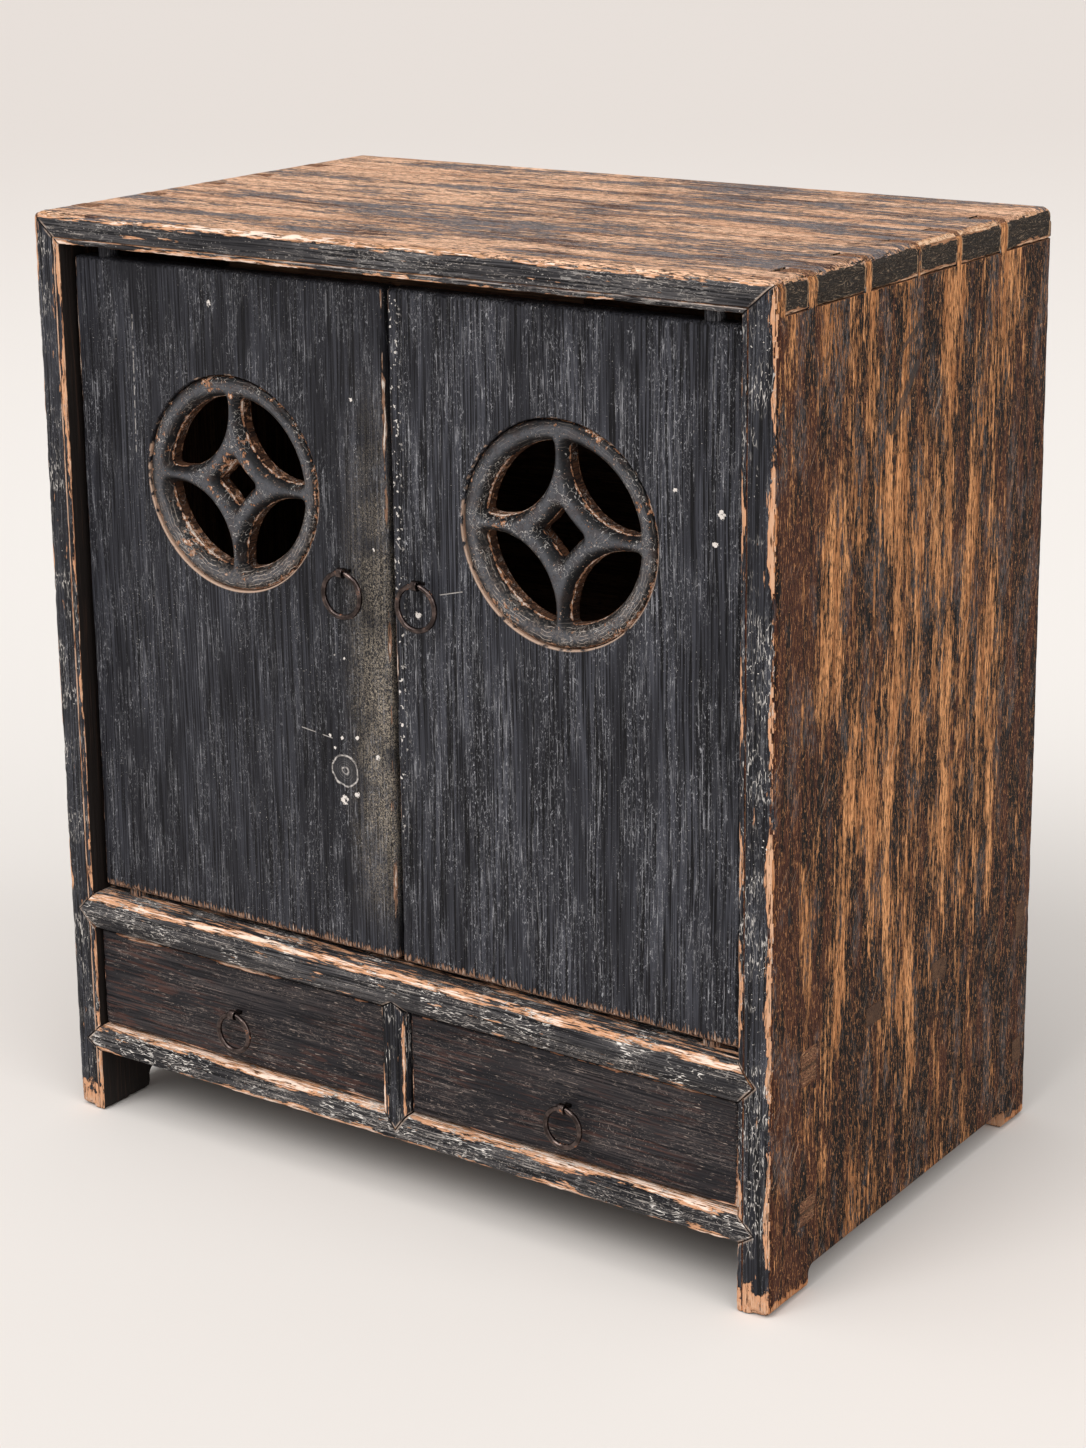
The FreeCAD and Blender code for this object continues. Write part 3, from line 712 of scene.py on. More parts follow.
# %% One layer over another


def blend(mask, lower, upper):
    return mask * upper + (1.0 - mask) * lower


def over(f, mask, lower, upper):
    colour = f.mix(mask, lower[0], upper[0])
    relief = blend(mask, lower[1], upper[1])
    roughness = blend(mask, lower[2], upper[2])
    return colour, relief, roughness


print("layers can be laid over each other")

# %% [markdown]
# Handling goes through the film first on a board's arrises. How far it has gone is one number,
# and that number decides what shows: the film, orange-brown wood, or pale wood with dark pores.

# %% Rubbed arrises


def rub(f, node, along, seed, width, more=0.0):
    """How far handling has gone through the film: highest on a board's arrises, and ragged.

    Two faces of a board that meet at an arris are given the same seed, so their wear meets too.
    """
    low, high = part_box(node)
    edge = f.edge_distance(f.straight, tuple((low + high) / 2), tuple((high - low) / 2))
    stretches = f.cloud(60, seed + 1, detail=1.0) * 2.6
    ragged = f.grain(along, 4.0, 18, seed, detail=6.0, roughness=0.6) * 2.0
    return stretches + ragged - 2.02 + more - edge / (width * MM)


def rubbed(f, layer, amount, along, seed, pale=raw_pink, warm=raw_orange):
    """Film rubbed through: first orange-brown wood shows, then pale wood with dark pores."""
    fine = f.grain(along, 1.1, 15, seed, detail=4.0, roughness=0.6)
    torn = amount + fine * 0.6 - 0.30
    layer = over(f, torn.rise(0.0, 0.06), layer, (warm, fine - 1.2, 0.75))
    whitened = (torn + fine * 1.6 - 1.02).rise(0.06, 0.30)
    layer = over(f, whitened, layer, (pale, fine - 1.1, 0.75))
    pores = fine.fall(0.36, 0.42) * torn.rise(-0.02, 0.10)
    return over(f, pores * 0.9, layer, (wood_pore, -2.0, 0.85))


print("arrises can be rubbed through")

# %% [markdown]
# The front of the case is cracked where two pieces meet. The cracks are drawn from the real mitre
# lines, given here by their X and Z on the right half, so they always lie on the joints.

# %% Where the front's joints lie
rail_points = (
    ((0.286, 0.151), (0.2995, 0.1655)),
    ((0.2995, 0.1655), (0.286, 0.180)),
    ((0.286, 0.049), (0.2995, 0.05824)),
    ((0.2995, 0.05824), (0.286, 0.071)),
)
stile_points = (
    ((0.010, 0.071), (0.0, 0.058)),
    ((0.010, 0.151), (0.0, 0.157)),
)
corner_mitres = (((0.286, 0.677), (0.312, 0.700)),)


def along_lines(f, lines, width):
    """1 beside any of these joint lines."""
    found = None
    for start, end in lines:
        line = f.near_line(start, end, width * MM, mirror=True)
        found = line if found is None else found.most(line)
    return found


print(len(rail_points + stile_points + corner_mitres), "joint lines on each half of the front")

# %% [markdown]
# All pieces of the front share one finish: black film over pink-brown wood, rubbed through along
# every arris and scratched white in patches. The rounded rails are worn along their crowns, where
# hands and knees pass.

# %% The lacquered front of the case
# Ridge-top grey of the crowned faces: a painted highlight, lighter than on the flat faces.
crown_grey = (0.115, 0.108, 0.110)
crown_dust = (0.66, 0.59, 0.54)
crown_half_height = 6.5 * MM
raw_tan = (0.72, 0.42, 0.26)
# The broken pale line along the bead is its painted highlight.
bead_painted_highlight = (0.66, 0.57, 0.52)
joint_pale = (0.72, 0.55, 0.44)
outer_edge_from, outer_edge_to = 0.304, 0.3095
sole_height = 0.050


def lacquered(node, along, seed, wear=5.0, white=1.3, joints=(), crown=None, bead=None, outer=0.0):
    """Black film on one face of the case.

    A crown is a height that hands have rubbed bare, a bead the height of a worn moulding, along which a
    broken pale line is painted as its highlight, and outer the extra wear of the case's outer arrises.
    """
    f = Finish(node + " lacquer")
    if crown:
        layer = lacquer_film(f, along, seed, 0.9, 1.7, grey=crown_grey, pale=crown_dust)
    else:
        layer = lacquer_film(f, along, seed, 0.9, 0.5)
    curved = hairlines(f, along, 3.5, 20, seed + 32, 0.016)
    straight = f.grain(along, 1.0, 7, seed + 34).rise(0.63, 0.68)
    scratches = curved.most(straight)
    where = f.cloud(30, seed + 33, detail=3.0).rise(0.47, 0.60)
    more = f.at[X].rise(outer_edge_from, outer_edge_to) * outer
    scuffs = f.grain(along, 4, 34, seed + 31, detail=6.0, roughness=0.6) * 2.4 - 1.58
    amount = rub(f, node, along, seed + 30, wear, more).most(scuffs)
    if outer:
        low_down = f.at[Z].fall(0.004, sole_height)
        sole = low_down + f.cloud(9, seed + 37, detail=5.0) * 1.5 - 1.45
        amount = amount.most(sole)
    if crown:
        near_crown = abs(f.at[Z] - crown).fall(0.0, crown_half_height)
        patchy = f.grain(along, 3.4, 40, seed + 35, detail=7.0, roughness=0.65) * 2.8
        amount = amount.most(near_crown * 0.95 + patchy - 1.99)
    layer = rubbed(f, layer, amount, along, seed + 20, raw_tan if outer else raw_pink)
    layer = over(f, scratches * where * 0.85 * white, layer, (fleck_pale, 0.8, 0.7))
    # The bead gets a broken pale line, painted as its highlight.
    if bead:
        line = abs(f.at[Z] - bead).fall(0.2 * MM, 1.1 * MM)
        broken = f.grain(along, 3, 24, seed + 36, detail=4.0).rise(0.42, 0.60)
        layer = over(f, line * broken * 0.8, layer, (bead_painted_highlight, 1.0, 0.6))
    layer = over(f, flecks(f, seed + 40, 1.0), layer, (fleck_pale, -0.6, 0.7))
    if joints:
        rim = along_lines(f, joints, 2.2) * f.cloud(14, seed + 41, detail=3.0).rise(0.44, 0.58)
        crack = along_lines(f, joints, 0.7)
        layer = over(f, rim * 0.65, layer, (joint_pale, 0.2, 0.8))
        layer = over(f, crack, layer, (crack_black_and_furrow_shade, -2.0, 0.9))
    return f.finished(*layer, 0.9)


print("the lacquered front is ready")

# %% [markdown]
# The sides and the top have lost most of their film. Orange wood shows between what is left:
# nearly black, with red-brown where it is thin, and a grey bloom in places.

# %% The colours of the worn case
case_orange = (0.82, 0.385, 0.165)
case_brown = (0.36, 0.145, 0.056)
case_dark = (0.007, 0.006, 0.0065)
case_lip = (0.80, 0.41, 0.18)
case_bloom = (0.15, 0.135, 0.135)
case_red = (0.070, 0.025, 0.015)
case_raw = (0.66, 0.36, 0.20)
case_warm = (0.50, 0.21, 0.09)
stroke_light = (0.56, 0.24, 0.095)
scratch_pale = (0.62, 0.45, 0.34)
gouge_dark = (0.045, 0.040, 0.038)
top_orange = (1.0, 0.62, 0.41)
top_brown = (0.58, 0.30, 0.175)
# The grey of the top's film is painted sheen from the light above.
top_film_painted_sheen = (0.150, 0.140, 0.150)
top_warm = (0.62, 0.33, 0.18)
top_end_raw = (0.80, 0.52, 0.33)
tail_dark = (0.034, 0.028, 0.023)
tail_light = (0.30, 0.215, 0.145)
tail_rim = (0.56, 0.34, 0.19)
tail_raw = (0.66, 0.42, 0.27)
tail_warm = (0.36, 0.18, 0.095)
pin_light = (0.62, 0.34, 0.17)
pin_dark = (0.22, 0.10, 0.055)
inside_light = (0.135, 0.070, 0.038)
inside_dark = (0.040, 0.020, 0.012)
# Near-black and dark brown painted shade, for film in recesses and dents.
painted_shade_black = (0.012, 0.009, 0.008)
painted_shade_brown = (0.050, 0.027, 0.019)
inner_raw = (0.80, 0.52, 0.36)
inner_warm = (0.46, 0.22, 0.12)
print("colours of the worn case")

# %% [markdown]
# The film's thickness is several sizes of drawn-out noise added together, which gives a streak
# its raggedness, and film is left where the sum passes a limit. It has a real thickness in the
# relief, so that its torn edges catch the light.

# %% Film left in streaks
film_limit = 0.805


def case_wood(
    f,
    along,
    seed,
    bias=0.0,
    light=case_orange,
    brown=case_brown,
    dark=case_dark,
    bloom=0.6,
    stretch=1.0,
    red=0.0,
):
    """Bias above 0 leaves more dark film, and below 0 more orange wood."""
    wood = bare_wood(f, along, seed, light, brown)
    broad = f.grain(along, 24, 170 * stretch, seed + 50, detail=2.0)
    zones = f.cloud(130, seed + 58, detail=1.0)
    ragged = f.grain(along, 3.2, 27 * stretch, seed + 51, detail=6.0, roughness=0.64)
    fine = f.grain(along, 1.1, 7 * stretch, seed + 52, detail=4.0, roughness=0.6)
    lines = f.grain(along, 1.5, 48 * stretch, seed + 57, detail=3.0)
    thick = broad * 0.50 + zones * 0.20 + ragged * 0.50 + lines * 0.18 + fine * 0.26 + bias
    kept = thick.rise(film_limit, film_limit + 0.015)
    thin = (f.grain(along, 9, 70, seed + 53, detail=3.0) + red).rise(0.50, 0.64)
    film = f.mix(thin, dark, case_red)
    blooming = f.grain(along, 18, 60, seed + 54, detail=3.0).rise(0.50, 0.62)
    pale = blooming * fine.rise(0.42, 0.56) * bloom
    film = f.mix(pale, film, case_bloom)
    curls = hairlines(f, along, 3, 9, seed + 55, 0.03) * fine.rise(0.46, 0.56)
    film = f.mix(curls * 0.55, film, light)
    layer = over(f, kept, wood, (film, fine * 1.4 + 0.8, 0.60))
    lip = abs(thick - (film_limit - 0.010)).fall(0.002, 0.009)
    layer = over(f, lip * 0.4, layer, (case_lip, 0.9, 0.7))
    strokes = f.grain(along, 0.9, 8 * stretch, seed + 56, detail=5.0, roughness=0.62)
    layer = over(f, strokes.rise(0.59, 0.62) * kept * 0.55, layer, (stroke_light, 0.8, 0.7))
    # The dark strokes are dents, painted near-black as their shade.
    return over(f, strokes.fall(0.405, 0.43) * 0.85, layer, (painted_shade_black, -0.9, 0.8))


print("film left in streaks")

# %% [markdown]
# Two more layers: wood that is cut across its fibres, which is darker and has fine curved growth
# lines, and long thin scratches that run across the grain in patches.

# %% End grain and scratches


def end_grain(f, seed, light, dark):
    """The cut ends of the boards, with their growth lines."""
    bands = abs(f.noise(f.place, (60, 40, 230), seed, detail=2.0, warp=1.4) - 0.5)
    lines = (bands * 11.0).remainder()
    specks = f.cloud(1.6, seed + 1, detail=3.0).rise(0.52, 0.60)
    colour = f.mix(lines.rise(0.55, 0.95) * 0.75, dark, light)
    return f.mix(specks * 0.7, colour, wood_pore), lines * 1.4 - specks, 0.8


def scratched(f, layer, seed, tilt, colour=scratch_pale, amount=0.7):
    """Long thin scratches, turned by the three angles of tilt."""
    turned = f.node(
        "ShaderNodeVectorRotate",
        {"rotation_type": "EULER_XYZ"},
        {"Vector": f.straight, "Rotation": tilt},
    )
    lines = f.noise(turned, (1100, 1100, 18), seed, detail=1.0).rise(0.68, 0.71)
    where = f.cloud(60, seed + 1).rise(0.54, 0.62)
    return over(f, lines * where * amount, layer, (colour, -1.0, 0.8))


print("end grain and scratches")

# %% [markdown]
# The side keeps more film near its front, at the back and low down, and less over the dovetail
# pins. Two deep gouges, given by Y and Z at both ends and a width in millimetres, lie where they
# do on the real right side.

# %% The outer face of a side board
side_gouges = (
    ((-0.0028, 0.6470), (-0.0261, 0.6330), 2.4),
    ((-0.0059, 0.6190), (-0.0406, 0.5806), 4.5),
)


def side_wood(node, seed, arris_seed, gouges=()):
    f = Finish(node + " worn wood")
    y, z = f.at[Y], f.at[Z]
    far_back = y.rise(0.09, 0.19)
    near_front = y.fall(-0.175, -0.10)
    low_down = z.fall(0.05, 0.33)
    pins = z.rise(0.676, 0.679)
    bias = far_back * 0.12 + near_front * 0.09 + low_down * 0.045 - pins * 0.10 + 0.008
    layer = case_wood(f, Z, seed, bias, red=near_front * 0.16 + far_back * 0.05)
    for start, end, width in gouges:
        line = f.near_line(start, end, width * MM, axes=(Y, Z))
        torn = line + f.cloud(3, seed + 66, detail=3.0) * 0.8 - 0.55
        layer = over(f, torn.rise(0.0, 0.15) * 0.8, layer, (gouge_dark, -1.2, 0.7))
    layer = scratched(f, layer, seed + 60, (0.62, 0.0, 0.0))
    sole = z.fall(0.004, 0.020) * 0.9 + f.cloud(10, seed + 65, detail=4.0) * 1.6 - 1.45
    amount = rub(f, node, Z, arris_seed, 5.0, -0.10).most(sole)
    layer = rubbed(f, layer, amount, Z, seed + 63, case_raw, case_warm)
    return f.finished(*layer, 1.2, shine=0.08)


print("the sides' finish is ready")

# %% [markdown]
# The top is the most worn face, and its film is painted grey, a painted sheen of the light from above. Its
# ends show on the sides as the end grain of the dovetails. Each tail has a worn rim, so the finish reads
# where the tails end from the construction's own corners.

# %% The top board's faces


def top_wood(node, seed, arris_seed):
    f = Finish(node + " worn wood")
    bias = f.at[X].rise(-0.25, 0.1) * 0.035 - 0.05
    # The top's film is painted grey, as sheen from the light above.
    layer = case_wood(f, X, seed, bias, top_orange, top_brown, top_film_painted_sheen, 1.2, stretch=0.8)
    layer = scratched(f, layer, seed + 60, (0.0, 1.2, 0.5))
    amount = rub(f, node, X, arris_seed, 6.0, 0.2)
    pale = f.mix(f.at[X].rise(0.285, 0.300), raw_pink, top_end_raw)
    layer = rubbed(f, layer, amount, X, seed + 63, pale, top_warm)
    return f.finished(*layer, 1.0)


def tail_edges(node):
    """Where the tails end along the side, read from the board's own corners."""
    low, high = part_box(node)
    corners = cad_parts[node].data.vertices
    return sorted({round(v.co.y, 4) for v in corners if v.co.x > high.x - 0.05 * MM})


def tail_ends(node, seed, arris_seed):
    f = Finish(node + " tail ends")
    layer = end_grain(f, seed + 80, tail_light, tail_dark)
    away = abs(f.at[Z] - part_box(node)[0].z)
    for edge in tail_edges(node):
        away = away.least(abs(f.at[Y] - edge))
    broken = f.cloud(7, seed + 81, detail=4.0)
    rim = (away / MM + broken * 3.0 - 1.5).fall(0.9, 1.9) * broken.rise(0.36, 0.46)
    layer = over(f, rim * 0.85, layer, (tail_rim, 1.0, 0.8))
    layer = over(f, away.fall(0.1 * MM, 0.5 * MM) * 0.9, layer, (wood_pore, -1.5, 0.9))
    amount = rub(f, node, Y, arris_seed, 5.0, 0.1)
    layer = rubbed(f, layer, amount, Y, seed + 63, tail_raw, tail_warm)
    return f.finished(*layer, 0.9)


print("tails end at", [round(edge, 3) for edge in tail_edges("top_board")])

# %% [markdown]
# Two plain faces are left: the cut ends of pins and tenons, and the sides' inner faces, which are
# plain inside the case and are painted near-black where they show beside the doors and on the feet: black
# film, darkened as painted shade in the recess beside the doors and under the case.

# %% Pin ends and inner faces
shade_and_film_front, shade_and_film_behind = -0.166, -0.160
front_arris = -0.19105
shade_and_film_foot_low, shade_and_film_foot_high = 0.047, 0.050


def pin_ends(node, seed):
    f = Finish(node + " pin ends")
    return f.finished(*end_grain(f, seed, pin_light, pin_dark), 0.6)


def inner_side(node, seed):
    f = Finish(node + " inner face")
    layer = bare_wood(f, Z, seed, inside_light, inside_dark)
    # Beside the doors and on the feet the face is painted near-black: black film and painted shade in one.
    beside_doors = f.at[Y].fall(shade_and_film_front, shade_and_film_behind)
    shown = beside_doors.most(f.at[Z].fall(shade_and_film_foot_low, shade_and_film_foot_high))
    film = f.grain(Z, 2.0, 60, seed + 3, detail=3.0)
    streaked = f.mix(film.rise(0.56, 0.7) * 0.4, painted_shade_black, painted_shade_brown)
    layer = over(f, shown, layer, (streaked, film, 0.6))
    front_edge = abs(f.at[Y] - front_arris).fall(0.4 * MM, 2.6 * MM) + film * 1.2 - 1.0
    layer = rubbed(f, layer, front_edge, Z, seed + 8, inner_raw, inner_warm)
    return f.finished(*layer, 0.6)


print("case finishes: lacquered front, worn wood, end grain, inner faces")

# %% [markdown]
# The doors carry the thickest film. Their grain stands up in fine ridges, painted grey on top as a
# highlight, and catches grey dust, more on the right door than on the left. Both have had their knocks:
# scuffs are given by X and Z and a radius in millimetres, and straight scratches by X and Z at both ends.

# %% The marks of the doors
scuff_pale = (0.78, 0.72, 0.67)
door_face = -0.180
left_marks = (
    (-0.0577, 0.3436, 2.6),
    (-0.0468, 0.3432, 3.4),
    (-0.0332, 0.3457, 3.6),
    (-0.0149, 0.3341, 5.0),
    (-0.0534, 0.3353, 3.6),
    (-0.0458, 0.2972, 8.5),
    (-0.0348, 0.3029, 5.5),
    (-0.0518, 0.4037, 2.8),
    (-0.0429, 0.4021, 2.8),
    (-0.1555, 0.6445, 5.5),
    (-0.0308, 0.5884, 4.0),
    (-0.0142, 0.4848, 3.0),
)
right_marks = (
    (0.2666, 0.5461, 7.5),
    (0.2614, 0.5259, 5.5),
    (0.2315, 0.5580, 4.0),
    (0.0233, 0.4440, 7.0),
    (0.0033, 0.4682, 3.0),
    (0.0052, 0.3859, 3.2),
    (0.0070, 0.3622, 3.0),
    (0.0075, 0.4908, 3.4),
    (0.0066, 0.5139, 3.0),
)
left_lines = (((-0.0831, 0.3452), (-0.0558, 0.3417)), ((-0.2281, 0.6297), (-0.2301, 0.5290)))
right_lines = (((0.0424, 0.4611), (0.0612, 0.4659)), ((0.0056, 0.4938), (0.0105, 0.4878)))


def marked(f, layer, seed, marks, lines):
    """The scuffs and straight scratches that this door has had, each in its own place."""
    near = None
    for x, z, radius in marks:
        mark = f.from_spot((x, door_face, z)).fall(radius * 0.15 * MM, radius * MM)
        near = mark if near is None else near.most(mark)
    curved = hairlines(f, Z, 3.5, 4.5, seed, 0.06) * 0.12
    chips = curved + f.cloud(2.4, seed + 1, detail=4.0, roughness=0.6) * 0.8
    layer = over(f, (near * 0.68 + chips).rise(0.99, 1.03), layer, (scuff_pale, -1.0, 0.8))
    broken = f.cloud(5, seed + 2, detail=3.0).rise(0.42, 0.52)
    for start, end in lines:
        scratch = f.near_line(start, end, 0.6 * MM) * broken
        layer = over(f, scratch * 0.55, layer, (scuff_pale, -0.6, 0.8))
    return layer


print(len(left_marks), "scuffs on the left door and", len(right_marks), "on the right")

# %% [markdown]
# The left door has a small knot low on its meeting edge. It is drawn by its distance alone: pale
# rings round a pale heart, with the distance made uneven by a cloud.

# %% The knot
knot_place = (-0.0449, door_face, 0.3190)
knot_radius = 11.5
knot_heart = 2.2
knot_dark = (0.030, 0.030, 0.034)


def knotted(f, layer, seed):
    away = f.from_spot(knot_place) / MM + f.cloud(9, seed, detail=2.0) * 4.0 - 2.0
    outline = abs(away - knot_radius).fall(0.2, 0.9)
    inner = (away * 0.55).remainder().rise(0.55, 0.90) * away.fall(2.0, knot_radius) * 0.28
    heart = abs(away - knot_heart).fall(0.2, 0.9)
    darker = away.fall(knot_radius - 1.0, knot_radius) * 0.6
    layer = over(f, darker, layer, (knot_dark, 0.0, 0.5))
    broken = 0.25 + f.cloud(3, seed + 1, detail=3.0).rise(0.42, 0.58) * 0.5
    return over(f, outline.most(inner).most(heart) * broken, layer, (scuff_pale, 0.6, 0.7))


print("the knot lies at", knot_place)

# %% [markdown]
# Where hands have pulled the left door it has a crackled, tan-speckled margin, and the right one
# has nicks there. The foot of each door is worn to a row of short pale dashes, and the edge of
# the round hole is rubbed pale, mostly below, where the pale rim is partly wear and partly a painted
# highlight of the edge that faces the light.

# %% The finish of a door
margin_tan = (0.52, 0.44, 0.34)
margin_brown = (0.060, 0.050, 0.042)
foot_raw = (0.80, 0.70, 0.61)
foot_warm = (0.30, 0.17, 0.11)
# Pale rim of the hole: wear, and a painted highlight on its lower half.
hole_rim_wear_and_highlight = (0.66, 0.46, 0.34)
hole_x, hole_z, hole_radius = 0.140, 0.516, 0.0782


def round_rim(f, width, seed):
    """1 on the edge of the round hole, in ragged pieces: wear, favoured on the lower half as a painted
    highlight where the edge faces the light.
    """
    x = abs(f.at[X]) - hole_x
    z = f.at[Z] - hole_z
    away = (x * x + z * z) ** 0.5
    # Favouring the lower half makes the pale rim partly a painted highlight.
    lower = (z / hole_radius).fall(-0.45, 0.75)
    ragged = f.cloud(7, seed, detail=5.0) + lower * 0.22
    return abs(away - hole_radius).fall(width * 0.3 * MM, width * MM) * ragged.rise(0.56, 0.66)


def door_finish(side, sign, seed, ridges, dust, margin, marks, lines):
    node = "door_board_" + side
    f = Finish(node + " lacquer")
    x, z = f.at[X] * sign, f.at[Z]
    layer = lacquer_film(f, Z, seed, ridges, dust)
    if margin:
        band = x.fall(0.008, 0.048) * z.rise(0.19, 0.30) * z.fall(0.36, 0.64)
        curls = hairlines(f, Z, 1.4, 2.2, seed + 8, 0.05)
        crackle = curls.most(f.cloud(1.3, seed + 9, detail=3.0).rise(0.54, 0.66))
        broken = f.cloud(26, seed + 10, detail=3.0).rise(0.30, 0.56)
        layer = over(f, band * broken * 0.3, layer, (margin_brown, 0.2, 0.7))
        specks = f.cloud(1.8, seed + 11, detail=3.0, roughness=0.6).rise(0.60, 0.64) * broken
        worn = crackle * (0.13 + broken * 0.6) + specks * 0.9
        layer = over(f, (band * worn * margin).clamped(), layer, (margin_tan, 0.9, 0.7))
        layer = knotted(f, layer, seed + 12)
    else:
        nicks = f.cloud(2.6, seed + 9, detail=2.0).rise(0.62, 0.66)
        nicks = nicks * x.fall(0.007, 0.016) * z.rise(0.25, 0.32)
        layer = over(f, nicks * 0.8, layer, (fleck_pale, -0.8, 0.8))
    amount = rub(f, node, Z, seed + 30, 3.2)
    foot = z.fall(0.184, 0.204) * 0.75 + f.grain(Z, 1.6, 14, seed + 33) - 1.12
    layer = rubbed(f, layer, amount.most(foot), Z, seed + 20, foot_raw, foot_warm)
    layer = over(f, flecks(f, seed + 40, 1.0, 1.2) * 0.8, layer, (fleck_pale, -0.6, 0.7))
    layer = over(f, round_rim(f, 1.4, seed + 45) * 0.8, layer, (hole_rim_wear_and_highlight, -0.4, 0.75))
    layer = marked(f, layer, seed + 50, marks, lines)
    return f.finished(*layer, 0.9)


print("the doors' finish is ready")

# %% [markdown]
# The drawer fronts are browner than the doors, because red-brown wood shines through their thin
# film, and their grain lies level.

# %% The finish of a drawer front
# Ridge-top grey of the drawer fronts: a painted highlight.
drawer_grey = (0.082, 0.068, 0.067)
drawer_dust = (0.52, 0.41, 0.36)
drawer_red = (0.110, 0.044, 0.030)
drawer_raw = (0.82, 0.56, 0.42)
drawer_warm = (0.42, 0.19, 0.105)
drawer_fleck = (0.66, 0.52, 0.44)


def drawer_finish(side, seed):
    node = "drawer_front_" + side
    f = Finish(node + " lacquer")
    colour, relief, roughness = lacquer_film(f, X, seed, 0.55, 0.54, grey=drawer_grey, pale=drawer_dust)
    red = f.grain(X, 2.0, 26, seed + 9, detail=5.0).rise(0.53, 0.62)
    red = red * f.cloud(70, seed + 10).rise(0.35, 0.60)
    layer = (f.mix(red * 0.45, colour, drawer_red), relief, roughness)
    amount = rub(f, node, X, seed + 30, 2.2, 0.35)
    layer = rubbed(f, layer, amount, X, seed + 20, drawer_raw, drawer_warm)
    dashes = f.grain(X, 0.9, 10, seed + 35).rise(0.65, 0.70)
    dashes = dashes * f.cloud(60, seed + 36).rise(0.48, 0.60)
    specks = dashes.most(flecks(f, seed + 40, 0.8))
    layer = over(f, specks * 0.6, layer, (drawer_fleck, -0.6, 0.7))
    return f.finished(*layer, 0.8)


print("the drawers' finish is ready")

# %% [markdown]
# The carved medallions are worn where they stand proud. That can't be told from a place on the
# cabinet, so the mesh itself will say it, in two attributes that this finish reads: how proud a
# point stands, and how near it lies to the crest of a rib. Along the crests a grey sheen is painted into the
# colour, a painted highlight.

# %% The finish of a medallion
carved_black = (0.006, 0.006, 0.007)
# The grey of the crests is a painted sheen.
carved_painted_sheen = (0.082, 0.083, 0.092)
carved_brown = (0.060, 0.036, 0.028)
carved_furrow = (0.010, 0.010, 0.011)
carved_raw = (0.84, 0.70, 0.60)
carved_warm = (0.42, 0.20, 0.105)
carved_dust = (0.27, 0.22, 0.185)
turned_pale = (0.62, 0.53, 0.46)
speck_tan = (0.60, 0.42, 0.32)
cut_light = (0.11, 0.050, 0.027)
cut_dark = (0.022, 0.012, 0.009)
carved_lip = -0.1722
cut_from, cut_to = -0.1715, -0.1695


def medallion_finish(seed):
    f = Finish("medallion lacquer")
    proud = f.node("ShaderNodeAttribute", {"attribute_name": "proud"}, output=2)
    crest = f.node("ShaderNodeAttribute", {"attribute_name": "crest"}, output=2)
    smooth = f.cloud(14, seed + 2, detail=4.0)
    # Crests are painted lighter grey: a painted sheen that follows the carving.
    painted_crest_sheen = (crest * 1.3 + smooth * 0.9 - 0.85).rise(0.0, 0.75)
    colour = f.mix(painted_crest_sheen, carved_black, carved_painted_sheen)
    brown = f.cloud(9, seed + 4, detail=4.0, roughness=0.6).rise(0.50, 0.60)
    colour = f.mix(brown * 0.25, colour, carved_brown)
    fine = f.cloud(1.8, seed + 3, detail=4.0)
    colour = f.mix(fine.rise(0.50, 0.64) * 0.35, colour, carved_furrow)
    film = (colour, smooth * 0.8 + fine * 0.35, 0.46)
    deep = f.at[Y].rise(cut_from, cut_to)
    cut_wood = bare_wood(f, Y, seed + 22, cut_light, cut_dark)
    layer = over(f, deep, film, cut_wood)
    ragged = f.cloud(4.5, seed + 30, detail=6.0, roughness=0.62) * 2.2
    ragged = ragged + f.cloud(30, seed + 31) * 1.6 - 2.24
    x = abs(f.at[X]) - hole_x
    z = f.at[Z] - hole_z
    away = (x * x + z * z) ** 0.5
    # The outer edge wears more on its lower half: wear, and a painted highlight of the edge that faces the
    # light.
    outer = away.rise(0.0748, 0.0772) * (0.10 + (z / hole_radius).fall(-0.6, 0.6) * 0.30)
    lip = abs(f.at[Y] - carved_lip).fall(0.0, 1.6 * MM) * 0.42
    edges = crest.fall(0.02, 0.18) * 0.34
    amount = (proud - 0.60) * 1.5 + ragged + outer + lip + edges
    layer = rubbed(f, layer, amount, Z, seed + 20, carved_raw, carved_warm)
    lines = hairlines(f, Z, 5, 5, seed + 36, 0.012)
    lines = lines * f.cloud(16, seed + 37, detail=3.0).rise(0.50, 0.56)
    layer = over(f, lines * 0.45, layer, (fleck_pale, 0.4, 0.7))
    rim = away.rise(0.060, 0.066) * (z / hole_radius).fall(-0.9, 0.4)
    dust = f.cloud(2.0, seed + 38, detail=4.0, roughness=0.6).rise(0.46, 0.62) * rim
    layer = over(f, dust * 0.34, layer, (carved_dust, 0.3, 0.8))
    turned = (away / MM * 0.42 + f.cloud(12, seed + 41) * 2.4).remainder().rise(0.80, 0.92)
    turned = turned * rim.most(0.25) * f.cloud(8, seed + 42, detail=4.0).rise(0.46, 0.56)
    turned = turned * away.rise(0.056, 0.060)
    layer = over(f, turned * 0.6, layer, (turned_pale, 0.6, 0.8))
    specks = f.cloud(1.4, seed + 39, detail=2.0).rise(0.66, 0.70) * crest.rise(0.1, 0.5)
    layer = over(f, specks * 0.6, layer, (speck_tan, -0.4, 0.8))
    return f.finished(*layer, 0.9)


print("door, drawer and medallion finishes")

# %% [markdown]
# What nobody was meant to see is plain, oily brown wood: the floor, runners, battens, back and
# drawer sides. The pulls are forged iron gone dark brown, handled until it shines a little, with
# rust in its pits. Rust is no metal, so it also takes the shine away.

# %% Plain wood and iron
stain_brown = (0.055, 0.030, 0.020)
iron_dark = (0.038, 0.029, 0.027)
iron_grey = (0.115, 0.086, 0.078)
iron_rust = (0.40, 0.15, 0.06)


